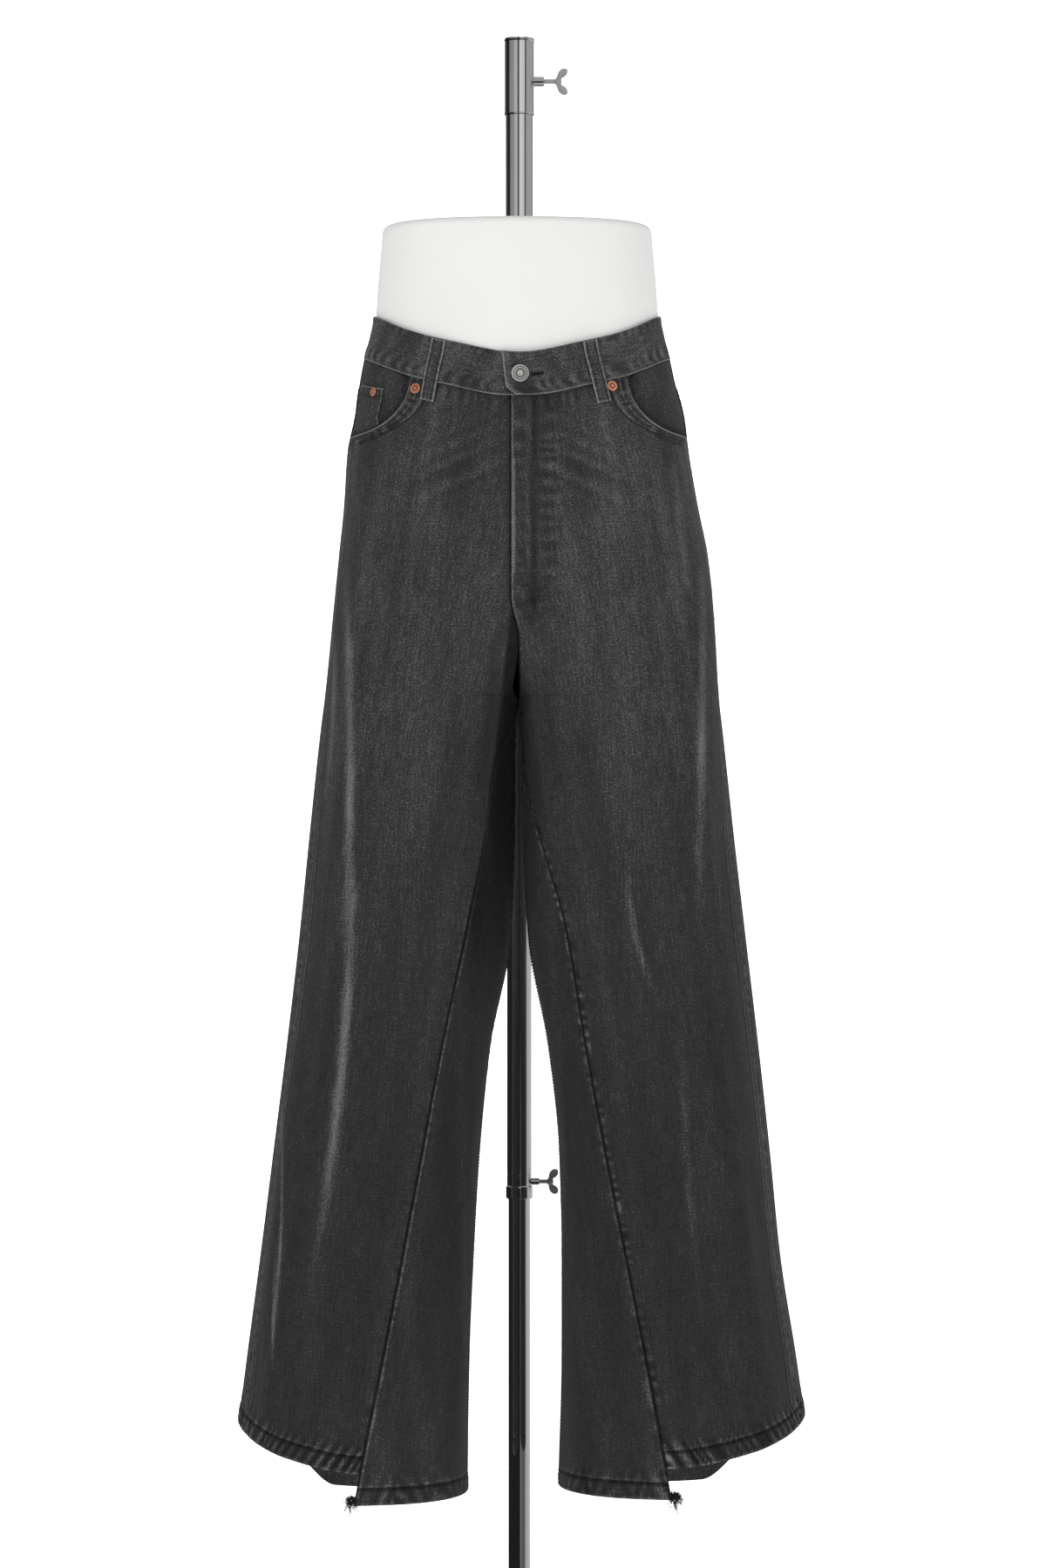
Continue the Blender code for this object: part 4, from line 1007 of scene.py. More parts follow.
@dataclass(frozen=True)
class FormFinish:
    """Smooth matt white shell with a faint mottling and fine orange peel."""

    name: str = "white_shell"
    colour: tuple = (0.745, 0.745, 0.735)

    def material(self) -> bpy.types.Material:
        """Builds the material on object coordinates.

        Returns:
            The material.
        """
        g = Graph(self.name)
        place = g.place()
        cloud, peel = g.noise(place, 7.0, 3.0), g.noise(place, 900.0, 2.0)
        shade = tuple(c * 0.96 for c in self.colour)
        g.colour(cloud, ((0.3, shade), (0.7, self.colour)))
        g.join(g.total(0.55, g.around(cloud, 0.06)), g.shader.inputs["Roughness"])
        g.bump(peel, 0.15, 0.00008)
        return g.material


@dataclass(frozen=True)
class ThreadFinish:
    """Spun thread with a fine ply."""

    name: str
    colour: tuple

    def material(self) -> bpy.types.Material:
        """Builds the material on object coordinates.

        Returns:
            The material.
        """
        g = Graph(self.name)
        ply = g.noise(g.place(), 1600.0, 2.0)
        dim = tuple(c * 0.6 for c in self.colour)
        g.colour(ply, ((0.3, dim), (0.7, self.colour)))
        g.set(Roughness=0.85)
        g.bump(ply, 0.4, 0.0001)
        return g.material


# ---------------------------------------------------------------- meshes
def new_object(name: str, points: Array, faces: list, material: bpy.types.Material,
               smooth_angle: float = 40.0) -> bpy.types.Object:
    """A mesh object at the origin, with its place in its mesh.

    Args:
        name: The piece's name.
        points: Vertices, n by 3.
        faces: Arrays of faces, each with rows of equal length.
        material: Its finish.
        smooth_angle: Edges sharper than this many degrees stay sharp.

    Returns:
        The linked object.
    """
    mesh = bpy.data.meshes.new(name)
    polygons = [row for group in faces for row in np.asarray(group).tolist()]
    mesh.from_pydata(np.asarray(points, float).tolist(), [], polygons)
    mesh.update()
    mesh.shade_smooth()
    mesh.set_sharp_from_angle(angle=math.radians(smooth_angle))
    mesh.materials.append(material)
    thing = bpy.data.objects.new(name, mesh)
    bpy.context.scene.collection.objects.link(thing)
    return thing


def grid_faces(rows: int, columns: int, start: int = 0, wrap: bool = False) -> Array:
    """Quads of a grid whose points run row by row; wrap joins the last column to the first.

    Args:
        rows: Rows of points.
        columns: Points in a row.
        start: Index of the first point.
        wrap: Joins the last column to the first.

    Returns:
        Four indices for each quad.
    """
    index = start + np.arange(rows * columns).reshape(rows, columns)
    if wrap:
        index = np.concatenate([index, index[:, :1]], axis=1)
    quads = np.stack([index[:-1, :-1], index[:-1, 1:], index[1:, 1:], index[1:, :-1]], axis=-1)
    return quads.reshape(-1, 4)


def bridge(loop: Array, other: Array) -> Array:
    """Quads between two closed loops with the same number of points."""
    return np.stack([loop, np.roll(loop, -1), np.roll(other, -1), other], axis=-1)


def end_caps(rows: int, columns: int) -> Array:
    """The two faces that close the ends of a wrapped grid."""
    first = np.arange(columns)
    return np.stack([first[::-1], (rows - 1) * columns + first])


def unit_circle(sides: int) -> tuple[Array, Array]:
    """Cosines and sines of even turns."""
    turn = np.arange(sides) * TAU / sides
    return np.cos(turn), np.sin(turn)


def supported(profile: Array) -> Array:
    """Adds a row near both ends of each long straight run, so that its shading stays even.

    Args:
        profile: (radius, height) rows.

    Returns:
        The profile with the added rows.
    """
    rows = [profile[0]]
    for start, end in zip(profile[:-1], profile[1:]):
        length = float(np.linalg.norm(end - start))
        if length > 0.003:
            step = (end - start) * 0.0003 / length
            rows += [start + step, end - step]
        rows.append(end)
    return np.array(rows)


def turned(name: str, profile: Array, material: bpy.types.Material, place: tuple = (0, 0, 0),
           axis: tuple = (0, 0, 1), sides: int = 96, ring: bool = False) -> bpy.types.Object:
    """A piece turned round an axis: each (radius, height) row is carried round as a circle.

    Args:
        name: The piece's name.
        profile: (radius, height) rows, up the outside.
        material: Its finish.
        place: The foot of its axis.
        axis: The axis's direction.
        sides: Points round a circle.
        ring: Joins the last row to the first, for a piece with a bore; otherwise both ends
            close on the axis.

    Returns:
        The object.
    """
    profile = np.asarray(profile, float)
    if ring:
        profile = np.concatenate([profile, profile[:1]])
    profile = supported(profile)
    cosine, sine = unit_circle(sides)
    radius, height = profile[:, :1], profile[:, 1:2]
    axis_z = np.asarray(axis, float) / np.linalg.norm(axis)
    helper = np.array([0.0, 1.0, 0.0]) if abs(axis_z[1]) < 0.9 else np.array([1.0, 0.0, 0.0])
    axis_x = np.cross(helper, axis_z)
    axis_x /= np.linalg.norm(axis_x)
    axis_y = np.cross(axis_z, axis_x)
    points = (radius[..., None] * (cosine[:, None] * axis_x + sine[:, None] * axis_y)
              + height[..., None] * axis_z + np.asarray(place, float))
    rows = len(profile) - 1 if ring else len(profile)
    first = np.arange(sides)
    ends = bridge((rows - 1) * sides + first, first) if ring else end_caps(rows, sides)
    return new_object(name, points[:rows].reshape(-1, 3), [grid_faces(rows, sides, wrap=True), ends],
                      material)


def signed_volume(thing: bpy.types.Object) -> float:
    """Volume of a closed mesh, negative when its faces point in, by its triangles' tetrahedra.

    Args:
        thing: A piece with a closed mesh.

    Returns:
        Cubic metres.
    """
    mesh = thing.data
    mesh.calc_loop_triangles()
    points = np.empty(len(mesh.vertices) * 3)
    mesh.vertices.foreach_get("co", points)
    corners = np.empty(len(mesh.loop_triangles) * 3, np.int32)
    mesh.loop_triangles.foreach_get("vertices", corners)
    a, b, c = points.reshape(-1, 3)[corners].reshape(-1, 3, 3).transpose(1, 0, 2)
    return float(np.einsum("ij,ij->i", a, np.cross(b, c)).sum() / 6)


def settle(thing: bpy.types.Object, body: str, node: str | None = None) -> None:
    """Turns a closed piece's faces out, hangs it on the body that it rides on, hides the CAD node that it
    stands for, and logs its name, faces and body.

    Args:
        thing: The piece.
        body: The body that it rides on.
        node: The CAD node, if it stands for one.
    """
    if signed_volume(thing) < 0:
        thing.data.flip_normals()
    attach(thing, body)
    if node:
        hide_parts(node)
    LOG.info("%s: %d faces, rides on %s", thing.name, len(thing.data.polygons), body)


@dataclass
class Skin:
    """A fine patch of cloth: grids of places, angles, normals and distances from its edges."""

    points: Array
    normals: Array
    angle: Array
    z: Array
    side: Side
    inner: Array = field(init=False)
    outer: Array = field(init=False)
    low: Array = field(init=False)
    top: Array = field(init=False)

    def __post_init__(self) -> None:
        """Works out each point's distance along the cloth from the four edges."""
        across = np.linalg.norm(np.diff(self.points, axis=1), axis=-1)
        up = np.linalg.norm(np.diff(self.points, axis=0), axis=-1)
        self.inner = np.concatenate([np.zeros((across.shape[0], 1)), np.cumsum(across, axis=1)], 1)
        self.low = np.concatenate([np.zeros((1, up.shape[1])), np.cumsum(up, axis=0)], 0)
        self.outer = self.inner[:, -1:] - self.inner
        self.top = self.low[-1:] - self.low

    @classmethod
    def on_surface(cls, side: Side, angle: Array, z: Array) -> "Skin":
        """A patch of the garment's surface over grids of angles and heights."""
        return cls(SHAPE.point(side, angle, z), SHAPE.normal(side, angle, z), angle, z, side)

    def shifted(self, lift: Array | float) -> Array:
        """Its points moved out along its normals."""
        return self.points + np.broadcast_to(lift, self.z.shape)[..., None] * self.normals

    def weave(self) -> Array:
        """Place across the cloth: the distance round the leg from its outer line."""
        return ARCS[self.side].at(self.angle, self.z)

    def streaks(self, face: Face) -> Array:
        """Worn paleness and painted highlight along the fold lines, broken up along their length.

        Args:
            face: Front or back.

        Returns:
            Worn paleness and painted highlight at each point.
        """
        x = self.side.value * self.points[..., 0]
        wear_and_shading = np.zeros_like(x)
        for number, streak in enumerate(STREAKS):
            if streak.side is not self.side or streak.face is not face:
                continue
            line = SHAPE.fold_depth(self.side, self.angle, self.z, x, (streak,))
            # Paler along fold ridges: partly worn ridges, partly painted highlight.
            wear_and_shading += line * (0.85 + 0.22 * drift(self.z, 0.050, 40 + number))
        return wear_and_shading

    def path(self, distance: Array, value: float, along_rows: bool,
             lift: float = 0.0) -> tuple[Array, Array]:
        """The line of points where a distance grid has a value, one for each row or column.

        Args:
            distance: One of the four distance grids.
            value: Its value on the line.
            along_rows: True finds a place in each row, False in each column.
            lift: Moves the line out along the normals.

        Returns:
            Points and normals along the line.
        """
        axis = 1 if along_rows else 0
        rising = distance.take(-1, axis=axis).mean() > distance.take(0, axis=axis).mean()
        past = distance >= value if rising else distance <= value
        high = np.clip(np.argmax(past, axis=axis), 1, distance.shape[axis] - 1)
        pick = np.expand_dims(high, axis)
        far = np.take_along_axis(distance, pick, axis)
        near = np.take_along_axis(distance, pick - 1, axis)
        t = np.clip((value - near) / (far - near), 0.0, 1.0)[..., None]
        found = []
        for grid in (self.points, self.normals):
            index = pick[..., None]
            found.append((np.take_along_axis(grid, index, axis) * t
                          + np.take_along_axis(grid, index - 1, axis) * (1 - t)).reshape(-1, 3))
        points, normals = found
        return points + lift * normals, normals


@dataclass
class ClothPiece:
    """One cut piece: a patch of denim with a wall, a worn tone with painted shade and light, and lines along
    its edges.

    cloth gives the weave's own directions where they aren't the leg's; flat_length is not used.
    """

    node: str
    skin: Skin
    lift: Array | float
    wall: Array | float
    wear_and_shading: Array | float
    lines: tuple[SeamLine, ...] = ()
    tone: float = 0.40
    cloth: tuple[Array, Array] | None = None
    flat_length: float | None = None

    def build(self) -> None:
        """Makes the closed wall and its maps, and states what it is.

        The outer face is the lifted patch, and the inner face lies a wall's thickness under it.
        """
        material = DenimFinish(self.node + "_denim", self.lines, self.tone).material()
        shape = self.skin.z.shape
        rows, columns = shape
        lift, wall = np.broadcast_to(self.lift, shape), np.broadcast_to(self.wall, shape)
        outer, inner = self.skin.shifted(lift), self.skin.shifted(lift - wall)
        index = np.arange(rows * columns).reshape(shape)
        border = np.concatenate([index[0, :-1], index[:-1, -1], index[-1, :0:-1], index[:0:-1, 0]])
        opposite = grid_faces(rows, columns, rows * columns)[:, ::-1]
        faces = [grid_faces(rows, columns), opposite, bridge(border + rows * columns, border)]
        points = np.concatenate([outer.reshape(-1, 3), inner.reshape(-1, 3)])
        thing = new_object(self.node + "_cloth", points, faces, material, 50.0)
        settle(thing, BODY, self.node)
        twice = (lambda grid: np.tile(np.broadcast_to(grid, shape).ravel(), 2))
        across, up = self.cloth or (self.skin.weave(), self.skin.z)
        add_map(thing, "cloth", twice(across), twice(up))
        add_map(thing, "edges", twice(self.skin.inner), twice(self.skin.outer))
        add_map(thing, "rims", twice(self.skin.low), twice(self.skin.top))
        # This attribute holds worn tone together with painted shade, painted shadow, painted highlight and
        # painted light fall-off.
        wear_and_shading = np.concatenate([np.broadcast_to(self.wear_and_shading, shape).ravel(), np.zeros(rows * columns)])
        layer = thing.data.attributes.new("wear_and_shading", "FLOAT", "POINT")
        layer.data.foreach_set("value", wear_and_shading.astype(np.float32))


def add_map(thing: bpy.types.Object, name: str, u: Array, v: Array) -> None:
    """A UV map from values at the vertices.

    Args:
        thing: The piece.
        name: The map's name.
        u: First coordinate of each vertex.
        v: Second coordinate of each vertex.
    """
    mesh = thing.data
    layer = mesh.uv_layers.new(name=name)
    corners = np.empty(len(mesh.loops), np.int32)
    mesh.loops.foreach_get("vertex_index", corners)
    layer.data.foreach_set("uv", np.stack([u, v], axis=-1)[corners].astype(np.float32).ravel())


def puckers(along: Array, distance: Array, period: float, reach: float, seed: int,
            centre: float = 0.0) -> Array:
    """Seam puckers from -1 to 1: uneven waves along an edge that die away from a line beside it.

    The wave is sin(turns) with its phase and its size drifting along the edge, times a bell of
    the distance from the line.

    Args:
        along: Distances along the edge.
        distance: Distances from the edge.
        period: Length of a wave.
        reach: Half width of the bell.
        seed: Picks the drift.
        centre: The line's distance from the edge.

    Returns:
        The wave's height at each point.
    """
    phase = along / period + 0.9 * drift(along, period * 1.7, seed)
    size = 0.65 + 0.35 * drift(along, period * 2.3, seed + 1)
    return size * np.sin(TAU * phase) * bell(distance - centre, reach)


@dataclass
class Stitching:
    """Rows of short stitches, joined in one mesh."""

    name: str
    finish: ThreadFinish
    pitch: float = 0.0032
    length: float = 0.0024
    radius: float = 0.00028
    proud: float = 0.00012
    starts: list = field(default_factory=list)
    ends: list = field(default_factory=list)
    outs: list = field(default_factory=list)

    def row(self, points: Array, normals: Array) -> None:
        """Adds stitches a pitch apart along a line, just proud of the cloth.

        Args:
            points: Places along the line.
            normals: Outward directions there.
        """
        steps = np.linalg.norm(np.diff(points, axis=0), axis=-1)
        run = np.concatenate([[0.0], np.cumsum(steps)])
        if run[-1] < self.pitch * 2:
            return
        begin = np.arange(self.pitch * 0.3, run[-1] - self.length, self.pitch)
        lifted = points + self.proud * normals

        def read(grid: Array, place: Array) -> Array:
            """A grid read at places along the line."""
            return np.stack([np.interp(place, run, grid[:, k]) for k in range(3)], axis=-1)

        self.starts.append(read(lifted, begin))
        self.ends.append(read(lifted, begin + self.length))
        self.outs.append(read(normals, begin))

    def build(self) -> None:
        """Each stitch is a five-sided spindle, sunk at both ends."""
        start, end = np.concatenate(self.starts), np.concatenate(self.ends)
        out = np.concatenate(self.outs)
        along = end - start
        out -= along * (np.einsum("ij,ij->i", out, along) / np.einsum("ij,ij->i", along, along))[:, None]
        out /= np.linalg.norm(out, axis=-1, keepdims=True)
        across = np.cross(along / np.linalg.norm(along, axis=-1, keepdims=True), out)
        rings = ((0.0, 0.35, -0.9), (0.22, 1.0, 0.0), (0.78, 1.0, 0.0), (1.0, 0.35, -0.9))
        sides = 5
        cosine, sine = unit_circle(sides)
        circle = cosine[:, None, None] * out + sine[:, None, None] * across
        points = np.stack([start + share * along + self.radius * (grow * circle + sink * out)
                           for share, grow, sink in rings])
        points = points.transpose(2, 0, 1, 3)
        rows = len(rings)
        offset = (np.arange(len(start)) * rows * sides)[:, None, None]
        faces = [(grid_faces(rows, sides, wrap=True) + offset).reshape(-1, 4),
                 (end_caps(rows, sides) + offset).reshape(-1, sides)]
        settle(new_object(self.name, points.reshape(-1, 3), faces, self.finish.material(), 80.0),
               BODY)


# ---------------------------------------------------------------- the cloth's pieces
@dataclass
class Legs:
    """Front, back and inset panels of both legs, with their hems and seams."""

    pockets: Pockets
    wall: float = 0.0015
    hem_height: float = 0.017
    hem_extra: float = 0.0007
    hem_row: float = 0.0022
    fly_step: float = 0.0012
    columns: int = 92
    inset_columns: int = 44
    band_rows: int = 17
    fan_rows: int = 14
    band_top: float = 0.024
    row_step: float = 0.0042
    inset_rows: tuple[float, float] = (0.0018, 0.0075)
    seat_rows: tuple[float, float] = (0.0016, 0.0078)
    rim_rows: tuple[float, float] = (0.0020, 0.0095)
    fly_rows: tuple[float, float] = (0.0340, 0.0400)
    fly_top_z: float = 1.2320
    fly_foot_z: float = 1.030
    fly_bend: float = 0.045
    stitching: Stitching = field(default_factory=lambda: Stitching(
        "leg_stitching", ThreadFinish("black_thread", (0.020, 0.020, 0.022))))
    backs: dict = field(default_factory=dict)

    def low_rows(self, side: Side, face: Face, inset: bool, share: Array) -> tuple[Array, Array]:
        """Angles and heights from the hem up to the inset's top or the level above it.

        Args:
            side: The wearer's side.
            face: Front or back.
            inset: True for an inset panel.
            share: Shares across a row.

        Returns:
            Grids of angles and of heights.
        """
        def ends(z: Array) -> tuple[Array, Array]:
            """Both ends of rows.

            Args:
                z: Heights.

            Returns:
                Angles of each row's first and last point.
            """
            if inset:
                inseam = face.value * (SHAPE.open_angle(side, z)
                                       - SHAPE.arc_step(side, face.value * 3.13 + 0 * z, z, GAP / 2))
                seam = SHAPE.inset_seam(side, z, face)
                return inseam, seam + face.value * SHAPE.arc_step(side, seam, z, GAP / 2)
            return SHAPE.inner_edge(side, z, face), SHAPE.outer_edge(side, z, face)

        band, fan, band_top = self.band_rows, self.fan_rows, self.band_top
        above = np.concatenate([np.linspace(0.0, band_top, band), np.zeros(fan)])[:, None]
        climb = np.concatenate([np.zeros(band), np.linspace(0.0, 1.0, fan + 1)[1:]])[:, None]
        height = np.full((band + fan, len(share)), 0.22)
        for _ in range(8):
            first, _ = ends(height[:, 0])
            _, last = ends(height[:, -1])
            angle = spread(first, last, share)
            hem = SHAPE.hem(side, angle, inset)
            fanned = hem + band_top + (SHAPE.low_z - hem - band_top) * climb
            height = np.where(climb > 0, fanned, hem + above)
        top = SHAPE.inset_top_z if inset else SHAPE.high_z
        levels = np.linspace(SHAPE.low_z, top, int((top - SHAPE.low_z) / self.row_step))[1:]
        return (np.concatenate([angle, spread(*ends(levels), share)]),
                np.concatenate([height, np.repeat(levels[:, None], len(share), axis=1)]))

    def front_grid(self, side: Side) -> tuple[Array, Array]:
        """Angles and heights of a front panel: leg, hip, then round the pocket's opening.

        Args:
            side: The wearer's side.

        Returns:
            Grids of angles and of heights.
        """
        share = eased(self.columns, 0.62)
        angle, z = self.low_rows(side, Face.FRONT, False, share)
        low, high = SHAPE.high_z, float(SHAPE.waist_seam(-math.pi / 2)) - GAP
        pocket = self.pockets
        side_top = float(SHAPE.waist_seam(SHAPE.side_seam_angle))
        base = (pocket.low_z - low) / (side_top - low)
        level = np.linspace(low, pocket.low_z, 48)[1:]
        turn = np.linspace(0.0, 1.0, 30)[1:]
        curve_angle, curve_z = pocket.opening(side, turn)
        outer_z = np.concatenate([level, curve_z])
        outer_angle = np.concatenate([SHAPE.outer_edge(side, level, Face.FRONT), curve_angle])
        climb = np.concatenate([(level - low) / (side_top - low), base + (1 - base) * turn])
        inner_z = low + (high - low) * climb
        inner_angle = SHAPE.fly_edge(side, inner_z)
        more, rise = spread(inner_angle, outer_angle, share), spread(inner_z, outer_z, share)
        bend = np.concatenate([np.zeros(len(level)), turn ** 3])[:, None]
        rise = rise + bend * (SHAPE.waist_seam(more) - GAP - rise[-1:])
        return np.concatenate([angle, more]), np.concatenate([z, rise])

    def back_grid(self, side: Side) -> tuple[Array, Array]:
        """Angles and heights of a back panel, up to the yoke's seam.

        Args:
            side: The wearer's side.

        Returns:
            Grids of angles and of heights.
        """
        share = eased(self.columns, 0.62)
        angle, z = self.low_rows(side, Face.BACK, False, share)
        climb = np.linspace(0.0, 1.0, 58)[1:, None]
        height = SHAPE.high_z + (1.235 - SHAPE.high_z) * climb + 0 * share
        for _ in range(6):
            first = SHAPE.open_angle(side, height[:, 0])
            last = SHAPE.outer_edge(side, height[:, -1], Face.BACK)
            row = spread(first, last, share)
            height = SHAPE.high_z + (SHAPE.yoke_seam(row) - GAP / 2 - SHAPE.high_z) * climb
        return np.concatenate([angle, row]), np.concatenate([z, height])

    def hem_relief(self, skin: Skin, seed: int) -> tuple[Array, Array, Array]:
        """Lift, wall and wear of a turned hem: a thicker band with slanted roping puckers.

        Args:
            skin: The piece's patch.
            seed: Picks the random draws.

        Returns:
            Lift, wall and wear.
        """
        on_band = 1 - fade(skin.low, self.hem_height - 0.0012, self.hem_height + 0.0012)
        slant = skin.inner + 0.45 * skin.low
        size = 0.7 + 0.3 * drift(slant, 0.022, seed + 1)
        wave = size * np.sin(TAU * (slant / 0.0098 + 0.7 * drift(slant, 0.016, seed)))
        body = bell(skin.low - self.hem_height * 0.45, self.hem_height * 0.62)
        bite = bell(skin.low - self.hem_height + 0.0016, 0.0013)
        lift = self.hem_extra * on_band + 0.0008 * wave * body - 0.0006 * bite
        above = bell(skin.low - self.hem_height - 0.006, 0.006)
        lift = lift + 0.0004 * wave * above
        # The darkening at the bite is partly the stitch line's own dark and partly painted shade in its
        # groove.
        wear_and_shading = 0.30 * wave * body - 0.01 * on_band + 0.16 * wave * above - 0.24 * bite
        wear_and_shading = wear_and_shading + 0.42 * bell(skin.low, 0.0018) * (0.6 + 0.4 * drift(skin.inner, 0.012, seed + 2))
        wear_and_shading = wear_and_shading + 0.16 * bell(skin.low - self.hem_height - 0.0016, 0.0012)
        return lift, self.wall + 2 * self.hem_extra * on_band, wear_and_shading

    def seam_relief(self, along: Array, distance: Array, seed: int, strength: float) -> tuple[Array, Array]:
        """Lift and wear beside a lapped seam: a low ridge whose edge puckers.

        Args:
            along: Distances along the seam.
            distance: Distances from it.
            seed: Picks the random draws.
            strength: Scales both.

        Returns:
            Lift and wear.
        """
        wave = puckers(along, distance, 0.0082, 0.0030, seed, 0.0036)
        ridge = 1 - fade(distance, 0.0075, 0.0105)
        return (strength * (0.0006 * wave + 0.00045 * ridge),
                strength * (0.27 * wave + 0.03 * ridge))

    def front(self, side: Side) -> None:
        """A front panel with its fly edge, hem, pocket rim and seams.

        Args:
            side: The wearer's side.
        """
        skin = Skin.on_surface(side, *self.front_grid(side))
        lift, wall, wear_and_shading = self.hem_relief(skin, 11 + side.value)
        leg = 1 - fade(skin.z, 0.90, 0.94)
        inset_strength = 1.0 if side is Side.LEFT else 0.35
        seam_lift, seam_wear = self.seam_relief(skin.z, skin.inner, 21 + side.value, inset_strength)
        lift, wear_and_shading = lift + seam_lift * leg, wear_and_shading + seam_wear * leg
        out_lift, out_wear = self.seam_relief(skin.z, skin.outer, 31 + side.value, 0.9)
        below = 1 - fade(skin.z, 1.17, 1.20)
        lift, wear_and_shading = lift + out_lift * below, wear_and_shading + out_wear * below
        off, along = self.pockets.rim(skin)
        near = fade(skin.z, 1.180, 1.186) * (1 - fade(off, 0.0115, 0.0135))
        ripple = puckers(along, off, 0.0080, 0.0048, 51 + side.value, 0.0065)
        lift, wear_and_shading = lift + near * (0.0004 + 0.0005 * ripple), wear_and_shading + near * (0.26 * ripple - 0.07)
        wear_and_shading = wear_and_shading + near * (0.62 * bell(off, 0.0013) + 0.10 * bell(off - 0.013, 0.0015))
        waist = puckers(skin.inner, skin.top, 0.0125, 0.010, 61 + side.value, 0.004)
        # The puckers' pale and dark is worn; the darkening at the top edge is painted shade under the
        # waistband.
        lift, wear_and_shading = lift + 0.00035 * waist, wear_and_shading + 0.10 * waist - 0.10 * bell(skin.top, 0.003)
        if side is Side.LEFT:
            lift, wear_and_shading = self.fly(skin, lift, wear_and_shading)
        else:
            # Painted shade under the left panel's fly lap, along this panel's middle edge.
            shade = fade(skin.z, 1.01, 1.05) * bell(skin.inner, 0.0035)
            wear_and_shading = wear_and_shading - 0.16 * shade
        wear_and_shading = wear_and_shading + skin.streaks(Face.FRONT) + self.wash(skin, Face.FRONT)
        lines = (SeamLine(Edge.OUTER, 0.0092, 0.0011, 0.26), SeamLine(Edge.OUTER, 0.0034, 0.0011, 0.20),
                 SeamLine(Edge.OUTER, 0.0175, 0.0014, 0.20), SeamLine(Edge.OUTER, 0.0215, 0.0018, -0.18),
                 OUTER_CUT, INNER_CUT, HEM_LINE)
        ClothPiece(side.label + "_front_panel", skin, lift, wall, wear_and_shading, lines).build()
        self.sew_leg(skin, Face.FRONT)

    def fly(self, skin: Skin, lift: Array, wear_and_shading: Array) -> tuple[Array, Array]:
        """The fly's lap on the left front: a raised strip with a pale folded edge and a J curve.

        Args:
            skin: The piece's patch.
            lift: The panel's lift so far.
            wear_and_shading: Its wear so far.

        Returns:
            Lift and wear.
        """
        run = fade(skin.z, 1.010, 1.060)
        across = skin.inner
        lift = lift + self.fly_step * run * (1 - fade(across, 0.028, 0.060))
        lift = (lift + run * 0.0009 * bell(across - 0.0185, 0.0030)
                - run * 0.0007 * bell(across - 0.0235, 0.0030))
        ladder = puckers(skin.z, across, 0.0135, 0.0100, 71, 0.036)
        rungs = puckers(skin.z, across, 0.0155, 0.0060, 73, 0.007)
        lift = lift + run * (0.0005 * ladder + 0.0003 * rungs)
        wear_and_shading = wear_and_shading + run * (0.10 * ladder + 0.08 * rungs - 0.05 * (1 - fade(across, 0.030, 0.042)))
        wear_and_shading = wear_and_shading + fade(skin.z, 1.000, 1.02) * 0.75 * bell(across, 0.0013)
        wear_and_shading = wear_and_shading + run * (0.04 * bell(across - 0.0165, 0.0022) - 0.20 * bell(across - 0.0215, 0.0018))
        foot = bell(skin.z - 1.035, 0.020) * bell(across - 0.018, 0.018)
        crumple = drift(skin.z + 0.7 * across, 0.0050, 75) * drift(across - 0.4 * skin.z, 0.0070, 77)
        return lift + 0.0012 * foot * crumple, wear_and_shading + 0.34 * foot * crumple - 0.12 * foot

    def wash(self, skin: Skin, face: Face) -> Array:
        """Broad tone: worn paler thighs and seat, whiskers and mottling; painted shade between the legs and
        a painted shadow wedge down the right front; painted light, paler at the hips and darker low on the
        legs.

        Args:
            skin: The piece's patch.
            face: Front or back.

        Returns:
            Worn tone with painted shade and light at each point.
        """
        x, z = skin.side.value * skin.points[..., 0], skin.z
        thigh = bell(z - 0.90, 0.22) * bell(x - 0.10, 0.060)
        inner = bell(x, 0.022) * (1 - fade(z, 0.98, 1.06)) * fade(z, 0.52, 0.80)
        mottled = 0.03 * drift(x * 1.3 + z * 0.2, 0.014, 91) + 0.012 * drift(z - x * 0.9, 0.060, 93)
        whisker = bell(z - 1.165, 0.045) * bell(x - 0.060, 0.040) * drift(z + 0.45 * x, 0.0075, 95)
        seat = bell(z - 1.13, 0.09) * bell(x - 0.085, 0.055) if face is Face.BACK else 0.0
        # Paler hips, and the darkening low on the legs in the sum below, are painted light that falls off
        # downwards.
        hip = fade(z, 0.85, 1.15)
        paler = 0.075 if skin.side is Side.LEFT else 0.045
        # Painted shade: the shadow wedge on the right front panel, and a slight darkening between the legs
        # elsewhere.
        shade = 0.34 * self.shadow(x, z) if skin.side is Side.RIGHT and face is Face.FRONT else 0.02 * inner
        return (0.04 * thigh - shade + mottled + 0.09 * whisker + 0.09 * seat
                + paler * hip - 0.03 - 0.070 * (1 - fade(z, 0.42, 0.85)))

    @staticmethod
    def shadow(x: Array, z: Array) -> Array:
        """Painted shadow: a dark wedge down the wearer's right inner thigh, under the other leg's edge.

        Args:
            x: Distances off the middle.
            z: Heights.

        Returns:
            Its depth, from 0 to 1.
        """
        edge = np.interp(z, (0.60, 0.731, 0.798, 0.871, 0.945, 1.020, 1.050),
                         (0.075, 0.0483, 0.0349, 0.0256, 0.0165, 0.0090, 0.0030))
        return fade(edge - x, -0.0020, 0.0020) * fade(z, 0.58, 0.82) * (1 - fade(z, 1.025, 1.055))

